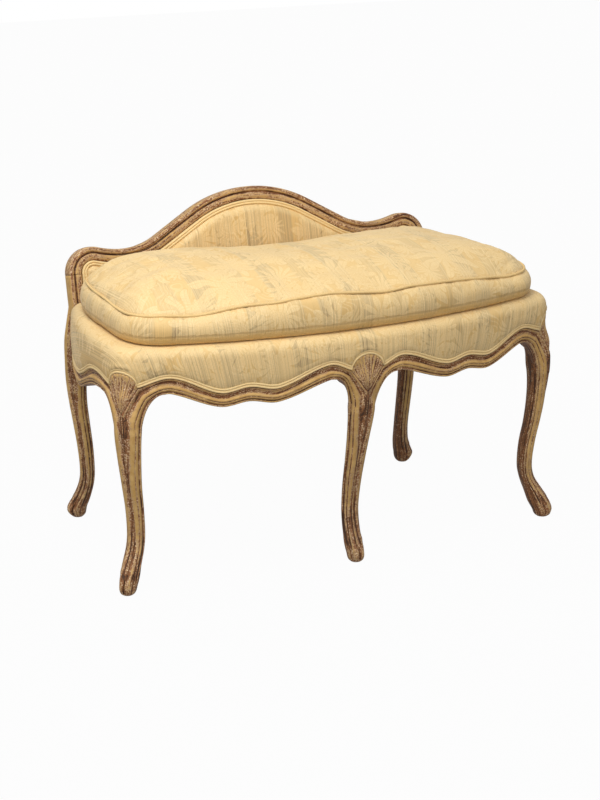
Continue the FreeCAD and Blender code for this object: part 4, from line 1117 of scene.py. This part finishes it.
cushionPlan = dict(half=402.0, front=220.0, rear=158.0, bow=1163.0, corner=66.0, side=866.0)
cushionForm = dict(
    slide=4.0, lift=0.6, lowSeam=454.0, seamMiddle=499.0, seamCorner=487.0, seamHalf=330.0, rearRise=5.0,
    rearRun=(-110, 60), waveRun=(-150, -90), rearCorner=70.0, rearLeft=8.0, tuck=7.0, frontBulge=20.0,
    leftBulge=12.0, rightBulge=11.0, rearBulge=10.0, crown=533.0, roll=72.0, frontRoll=105.0, rightRoll=122.0,
    round=2.2, puff=7.0, puffPlace=-240.0, puffHalf=110.0, voxel=0.0055)
# shares of the plan underneath, of the tuck and the way up at the foot, of the bulge and the way up
# along the boxing, and of the plan over the crown
cushionRows = dict(
    under=(0.05, 0.5, 0.88, 1.0), foot=((0.45, 0.4), (0.12, 1.0)),
    boxing=((1.0, 0.25), (0.92, 0.45), (0.68, 0.68), (0.36, 0.87), (0.0, 1.0)),
    crown=(0.985, 0.96, 0.93, 0.89, 0.84, 0.77, 0.68, 0.56, 0.42, 0.25, 0.05))
# cloth run: how near the seam or the seat the cloth is held, in millimetres, and the most it moves, in metres
swellForm = dict(pressure=4.0, quality=5, frames=20, seamHold=5, edgeHold=14, footHold=4, move=0.012)
# place along the front, height that the seam wanders by
seamWave = [(-430, 1), (-386, 0.5), (-346, 0.3), (-300, -4.2), (-259, -1.2), (-212, 3), (-158, 1.6),
            (-116, 4.8), (-56, 6.8), (0, 1.5), (52, -2.6), (106, 1.6), (202, 0.9), (269, -1), (331, -5.1),
            (372, -4.2), (430, -1)]


def cushionStations():
    bow, corner, side = planMiddles(cushionPlan)
    turn = atan2((corner - bow).y, (corner - bow).x)
    radius = cushionPlan["side"] - cushionForm["rearCorner"]
    y = cushionPlan["rear"] - cushionForm["rearCorner"]
    rearMid = Vector((side.x + sqrt(radius ** 2 - (y - side.y) ** 2), y, 0))
    sideEnd = asin((y - side.y) / radius)
    half = []
    for mid, size, first, last, count in (
            (bow, cushionPlan["bow"], -pi / 2, turn, 40), (corner, cushionPlan["corner"], turn, 0, 16),
            (side, cushionPlan["side"], 0, sideEnd, 24),
            (rearMid, cushionForm["rearCorner"], sideEnd, pi / 2, 16)):
        for angle in steps(first, last, count)[1 if half else 0:]:
            out = Vector((cos(angle), sin(angle), 0))
            half.append((mid + out * size, out))
    for x in steps(half[-1][0].x, 0, 30)[1:]:
        half.append((Vector((x, cushionPlan["rear"], 0)), Vector((0, 1, 0))))
    placed = []
    for p, o in half + [(crossed(p), crossed(o)) for p, o in half[-2:0:-1]]:
        # the rear left corner is drawn out
        spread = cushionForm["rearLeft"] * eased(-40, 80, p.y) * eased(200, 340, -p.x)
        placed.append((p + Vector((cushionForm["slide"] - spread, 0, 0)), o))
    return placed


cushionRound = cushionStations()
cushionMid = Vector((cushionForm["slide"], (cushionPlan["rear"] - cushionPlan["front"]) / 2, 0))


def pointTree(points):
    tree = KDTree(len(points))
    for step, point in enumerate(points):
        tree.insert(point, step)
    tree.balance()
    return tree


# stations where the seat's edge turns down, without those that close in behind the stiles
seatRound = [(p, o) for p, o, z in seatStations() if o.length > 0.9]
seatTree = pointTree([p for p, o in seatRound])
roundTree = pointTree([p for p, o in cushionRound])


def restHeight(place):
    # height of the seat under the cushion, which sinks over the round edge
    place = Vector((place.x, place.y, 0))
    edge = seatBuild["edge"]
    p, o = seatRound[seatTree.find(place)[1]]
    gap = min(max((p - place).dot(o) + seatPad["proud"], 0), edge)
    return seatBuild["top"] + cushionForm["lift"] - edge * (1 - sqrt(1 - (1 - gap / edge) ** 2))


def seamHeight(place):
    # the top seam stands higher in the middle of the front than at the corners, and rises again to the rear
    middle = max(0.0, 1 - (place.x / cushionForm["seamHalf"]) ** 2)
    height = mixed(cushionForm["seamCorner"], cushionForm["seamMiddle"], middle)
    height += cushionForm["rearRise"] * eased(*cushionForm["rearRun"], place.y) * (1 - middle)
    return height + readCurve(seamWave, place.x)[0] * (1 - eased(*cushionForm["waveRun"], place.y))


def fullness(out):
    side = cushionForm["leftBulge"] if out.x < 0 else cushionForm["rightBulge"]
    end = cushionForm["frontBulge"] if out.y < 0 else cushionForm["rearBulge"]
    return side * out.x ** 2 + end * out.y ** 2


def crownPoint(place, seam):
    form = cushionForm
    gap = 1.0
    for p, o in cushionRound[::2]:
        roll = mixed(form["roll"], form["frontRoll"], max(-o.y, 0) ** 2)
        roll = mixed(roll, form["rightRoll"], max(o.x, 0) ** 2)
        gap = min(gap, (place - p).length / roll)
    crown = form["crown"] + form["puff"] * exp(-((place.x - form["puffPlace"]) / form["puffHalf"]) ** 2)
    return place + up * mixed(seam, crown, 1 - (1 - gap) ** form["round"])


def cushionRings():
    form = cushionForm
    foot = [p + o * (fullness(o) - form["tuck"]) for p, o in cushionRound]
    rings = []
    for share in cushionRows["under"]:
        ring = [cushionMid + (p - cushionMid) * share for p in foot]
        rings.append([p + up * restHeight(p) for p in ring])
    for part, climb in cushionRows["foot"]:
        rings.append([p + o * (fullness(o) - form["tuck"] * part)
                      + up * mixed(restHeight(p), form["lowSeam"], climb) for p, o in cushionRound])
    for out, climb in cushionRows["boxing"]:
        rings.append([p + o * (fullness(o) * out) + up * mixed(form["lowSeam"], seamHeight(p), climb)
                      for p, o in cushionRound])
    for share in cushionRows["crown"]:
        rings.append([crownPoint(cushionMid + (p - cushionMid) * share, seamHeight(p))
                      for p, o in cushionRound])
    return rings


def swell(piece):
    rest = [vert.co.copy() for vert in piece.data.vertices]
    cloth = piece.modifiers.new("swell", "CLOTH")
    cloth.settings.use_pressure = True
    cloth.settings.uniform_pressure_force = swellForm["pressure"]
    cloth.settings.effector_weights.gravity = 0
    cloth.settings.quality = swellForm["quality"]
    held = piece.vertex_groups.new(name="held")
    for vert in piece.data.vertices:
        place = vert.co / mm
        spot, step, gap = roundTree.find((place.x, place.y, 0))
        atSeam = abs(place.z - seamHeight(spot)) < swellForm["seamHold"] and gap < swellForm["edgeHold"]
        if atSeam or place.z < restHeight(place) + swellForm["footHold"]:
            held.add([vert.index], 1.0, "REPLACE")
    cloth.settings.vertex_group_mass = held.name
    scene = bpy.context.scene
    for step in range(1, swellForm["frames"] + 1):
        scene.frame_set(step)
    shape = piece.evaluated_get(bpy.context.evaluated_depsgraph_get()).to_mesh()
    moved = [vert.co.copy() for vert in shape.vertices]
    piece.modifiers.remove(cloth)
    scene.frame_set(1)
    for vert, was, now in zip(piece.data.vertices, rest, moved):
        move = now - was
        if move.length > swellForm["move"]:
            move *= swellForm["move"] / move.length
        vert.co = was + move
    piece.vertex_groups.clear()


bm = bmesh.new()
loft(bm, cushionRings())
cushion = makePiece(
    "loose_cushion", bm, damaskCloth, body="cushion",
    replaced=("cushion_filling", "cushion_top_panel", "cushion_boxing", "cushion_bottom_panel"))
remesh = cushion.modifiers.new("even", "REMESH")
remesh.mode = "VOXEL"
remesh.voxel_size = cushionForm["voxel"]
even = bpy.data.meshes.new_from_object(cushion.evaluated_get(bpy.context.evaluated_depsgraph_get()))
cushion.modifiers.clear()
cushion.data = even
swell(cushion)
for vert in cushion.data.vertices:  # it lies on the seat
    vert.co.z = max(vert.co.z, restHeight(vert.co / mm) * mm)
bm = bmesh.new()
bm.from_mesh(cushion.data)
for turn in range(3):
    bmesh.ops.smooth_vert(
        bm, verts=bm.verts[:], factor=0.5, use_axis_x=True, use_axis_y=True, use_axis_z=True)
tree = BVHTree.FromBMesh(bm)

seamRun = []
for place, out in cushionRound:
    near = (place + up * seamHeight(place)) * mm
    seamRun.append((tree.find_nearest(near)[0] / mm, out))
# dents and creases in the cushion's cloth: sizes in millimetres, pace of the waves, reach from the seam
pucker = dict(
    pull=3.0, under=1.8, reach=10.0, gather=1.8, gatherPace=55, gatherReach=34, dent=1.0, dentPace=34,
    dip=1.8, dipPace=12, spread=1.6, rays=11, rayBend=3, rayReach=95, fold=2.6, foldPace=(0.006, 0.034))
# facing of the cloth that counts as bottom or top, step above the seam, and how the top's weave is laid
clothLay = dict(bottom=-0.4, top=0.85, slope=0.2, step=0.5, lean=0.25, band=2.5, shift=0.013, stretch=1.05)
# corners that soft creases run out from
pulls = [Vector((-366, -128, 0)), Vector((380, -128, 0)), Vector((-346, 108, 0))]


def softCreases(place):
    total = 0.0
    for corner in pulls:
        away = Vector((place.x, place.y, 0)) - corner
        bend = pucker["rayBend"] * noise.noise(Vector((away.length * 0.01, corner.x, corner.y)))
        fade = exp(-(away.length / pucker["rayReach"]) ** 2) * eased(8, 40, away.length)
        total += sin(atan2(away.y, away.x) * pucker["rays"] + bend) * fade
    paceX, paceY = pucker["foldPace"]
    fold = noise.noise(Vector((place.x * paceX, place.y * paceY, 0)))
    return total * pucker["spread"] + fold * pucker["fold"]


seamPlaces = [place for place, out in seamRun]
seamTree = pointTree(seamPlaces)
seamLength = [0.0]
for a, b in zip(seamPlaces, seamPlaces[1:]):
    seamLength.append(seamLength[-1] + (b - a).length * mm)
cloth = bm.verts.layers.float_vector.new("weave")
for vert in bm.verts:
    place = vert.co / mm
    wave = noise.noise(vert.co * pucker["dentPace"]) * pucker["dent"]
    wave += noise.noise(vert.co * pucker["dipPace"]) * pucker["dip"]
    spot, step, gap = seamTree.find(place)
    crease = max(0.0, 1 - gap / pucker["reach"]) ** 2
    ripple = noise.noise(Vector((seamLength[step] * pucker["gatherPace"], place.z * 0.02, 0.0)))
    gather = ripple * pucker["gather"] * max(0.0, 1 - gap / pucker["gatherReach"])
    above = place.z - spot.z > clothLay["step"] + clothLay["lean"] * (spot.xy - place.xy).length
    # the underside, and in the boxing the band below the low seam, are marked for a darker gold: painted
    # shade under the cushion's swell
    if place.z < cushionForm["lowSeam"] - 3 and vert.normal.z < clothLay["bottom"]:
        vert[cloth] = (vert.co.x, vert.co.y, 1)
    elif above and vert.normal.z > clothLay["slope"] or vert.normal.z > clothLay["top"]:
        vert[cloth] = (vert.co.x + clothLay["shift"], vert.co.y * clothLay["stretch"], 0)
        wave += softCreases(place) * eased(6, 30, gap)
    else:
        ahead = seamPlaces[(step + 1) % len(seamPlaces)] - spot
        slide = (place - spot).dot(ahead) / max(ahead.length, 0.01) * mm
        seam, band = cushionForm["lowSeam"], clothLay["band"]
        vert[cloth] = (seamLength[step] + slide, vert.co.z, 1 - eased(seam - band, seam + band, place.z))
    if place.z > restHeight(place) + 3:
        pull = pucker["pull"] + pucker["under"] * eased(0, 3, spot.z - place.z)
        vert.co += vert.normal * ((wave + gather - crease * pull) * mm)
bm.to_mesh(cushion.data)
bm.free()
cushion.data.shade_smooth()
smooth = cushion.modifiers.new("soften", "SUBSURF")
smooth.levels = smooth.render_levels = 1

pipingForm = dict(radius=2.5, proud=2.1, sides=10, shadowCordRadius=0.9, shadowCordDrop=2.9, wander=0.02)


def cordRings(radius, drop):
    rings = []
    for place, out in seamRun:
        lift = noise.noise(place * pipingForm["wander"])
        middle = place - out * (pucker["pull"] - pipingForm["proud"]) + up * (lift - drop)
        turns = [2 * pi * k / pipingForm["sides"] for k in range(pipingForm["sides"])]
        rings.append([middle + (out * cos(a) + up * sin(a)) * radius for a in turns])
    return rings


bm = bmesh.new()
loft(bm, cordRings(pipingForm["radius"], 0.0), loop=True)
makePiece("cushion_cord_piping", bm, pipingCloth, body="cushion", replaced=("cushion_piping",))
# a thin dark cord just under the piping: a painted shadow along the seam
bm = bmesh.new()
loft(bm, cordRings(pipingForm["shadowCordRadius"], pipingForm["shadowCordDrop"]), loop=True)
makePiece("cushion_seam_shadow_cord", bm, seamShadowCloth, body="cushion")
print("settee: cushion filled and piped")

# carried-over pieces under the seat and in the joints
carried = [
    (bareWood, ("seat_center_brace", "front_left_block", "front_right_block", "rear_left_block",
                "rear_right_block", "joint_pegs")),
    (rawSteel, ("block_screws", "webbing_tacks")),
    (strapCloth, ("seat_webbing_lengthwise", "seat_webbing_crosswise", "back_webbing_upright",
                  "back_webbing_level")),
    (hessianCloth, ("seat_hessian", "back_hessian"))]
for finish, nodes in carried:
    for node in nodes:
        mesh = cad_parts[node].data
        mesh.materials.clear()
        mesh.materials.append(finish)

# studio: pale floor, white background, soft lamps
studio = dict(floor=0.97, ground=0.26, world=0.46)
# name, place, aim, width, power
lamps = [("keyLamp", (-1.1, -0.8, 2.6), (0, 0, 0.4), 1.6, 47.5),
         ("fillLamp", (-1.3, -3.2, 1.5), (0, 0, 0.3), 1.8, 24.0)]


def plainlySeen(tree):
    # rays that meet the background by sight, in gloss or through something clear
    light = addNode(tree, "LightPath").outputs
    passed = sums(tree, "MAXIMUM", light["Is Glossy Ray"], light["Is Transmission Ray"])
    return sums(tree, "MAXIMUM", light["Is Camera Ray"], passed)


def makeFloor():
    bm = bmesh.new()
    bmesh.ops.create_grid(bm, x_segments=4, y_segments=4, size=8.0)
    mesh = bpy.data.meshes.new("floor")
    bm.to_mesh(mesh)
    bm.free()
    made, tree, shader = newMaterial("pale_floor")
    seen = sums(tree, "MULTIPLY", plainlySeen(tree), studio["floor"])
    shader.inputs["Base Color"].default_value = (studio["ground"], studio["ground"], studio["ground"], 1)
    shader.inputs["Roughness"].default_value = 0.9
    glow = addNode(tree, "Emission", {"Color": (1, 1, 1, 1), "Strength": 1.0})
    blend = addNode(tree, "MixShader", {0: seen, 1: shader.outputs[0], 2: glow.outputs[0]})
    tree.links.new(blend.outputs[0], tree.nodes["Material Output"].inputs["Surface"])
    mesh.materials.append(made)
    floor = bpy.data.objects.new("floor", mesh)
    bpy.context.scene.collection.objects.link(floor)


def makeLamp(name, place, aim, size, power):
    lamp = bpy.data.lights.new(name, "AREA")
    lamp.shape = "DISK"
    lamp.size = size
    lamp.energy = power
    lampObject = bpy.data.objects.new(name, lamp)
    lampObject.location = place
    lampObject.rotation_mode = "QUATERNION"
    lampObject.rotation_quaternion = (Vector(aim) - Vector(place)).to_track_quat("-Z", "Y")
    bpy.context.scene.collection.objects.link(lampObject)


def makeWorld():
    world = bpy.data.worlds.new("studio")
    bpy.context.scene.world = world
    world.use_nodes = True
    tree = world.node_tree
    lit = addNode(tree, "Background", {"Color": (1, 1, 1, 1), "Strength": studio["world"]})
    plain = addNode(tree, "Background", {"Color": (1, 1, 1, 1), "Strength": 1.0})
    blend = addNode(tree, "MixShader", {0: plainlySeen(tree), 1: lit.outputs[0], 2: plain.outputs[0]})
    tree.links.new(blend.outputs[0], tree.nodes["World Output"].inputs["Surface"])


makeFloor()
makeWorld()
for row in lamps:
    makeLamp(*row)

view = dict(place=(-1.6960, -3.2527, 1.3669), azimuth=-27.487, elevation=16.990, lens=92.64)
camera = bpy.data.cameras.new("camera")
camera.lens = view["lens"]
camera.sensor_width = 36.0
cameraObject = bpy.data.objects.new("camera", camera)
cameraObject.location = view["place"]
cameraObject.rotation_euler = (radians(90 - view["elevation"]), 0, radians(view["azimuth"]))
bpy.context.scene.collection.objects.link(cameraObject)
bpy.context.scene.camera = cameraObject
bpy.context.scene.view_settings.view_transform = "Standard"
print("settee: studio lit")
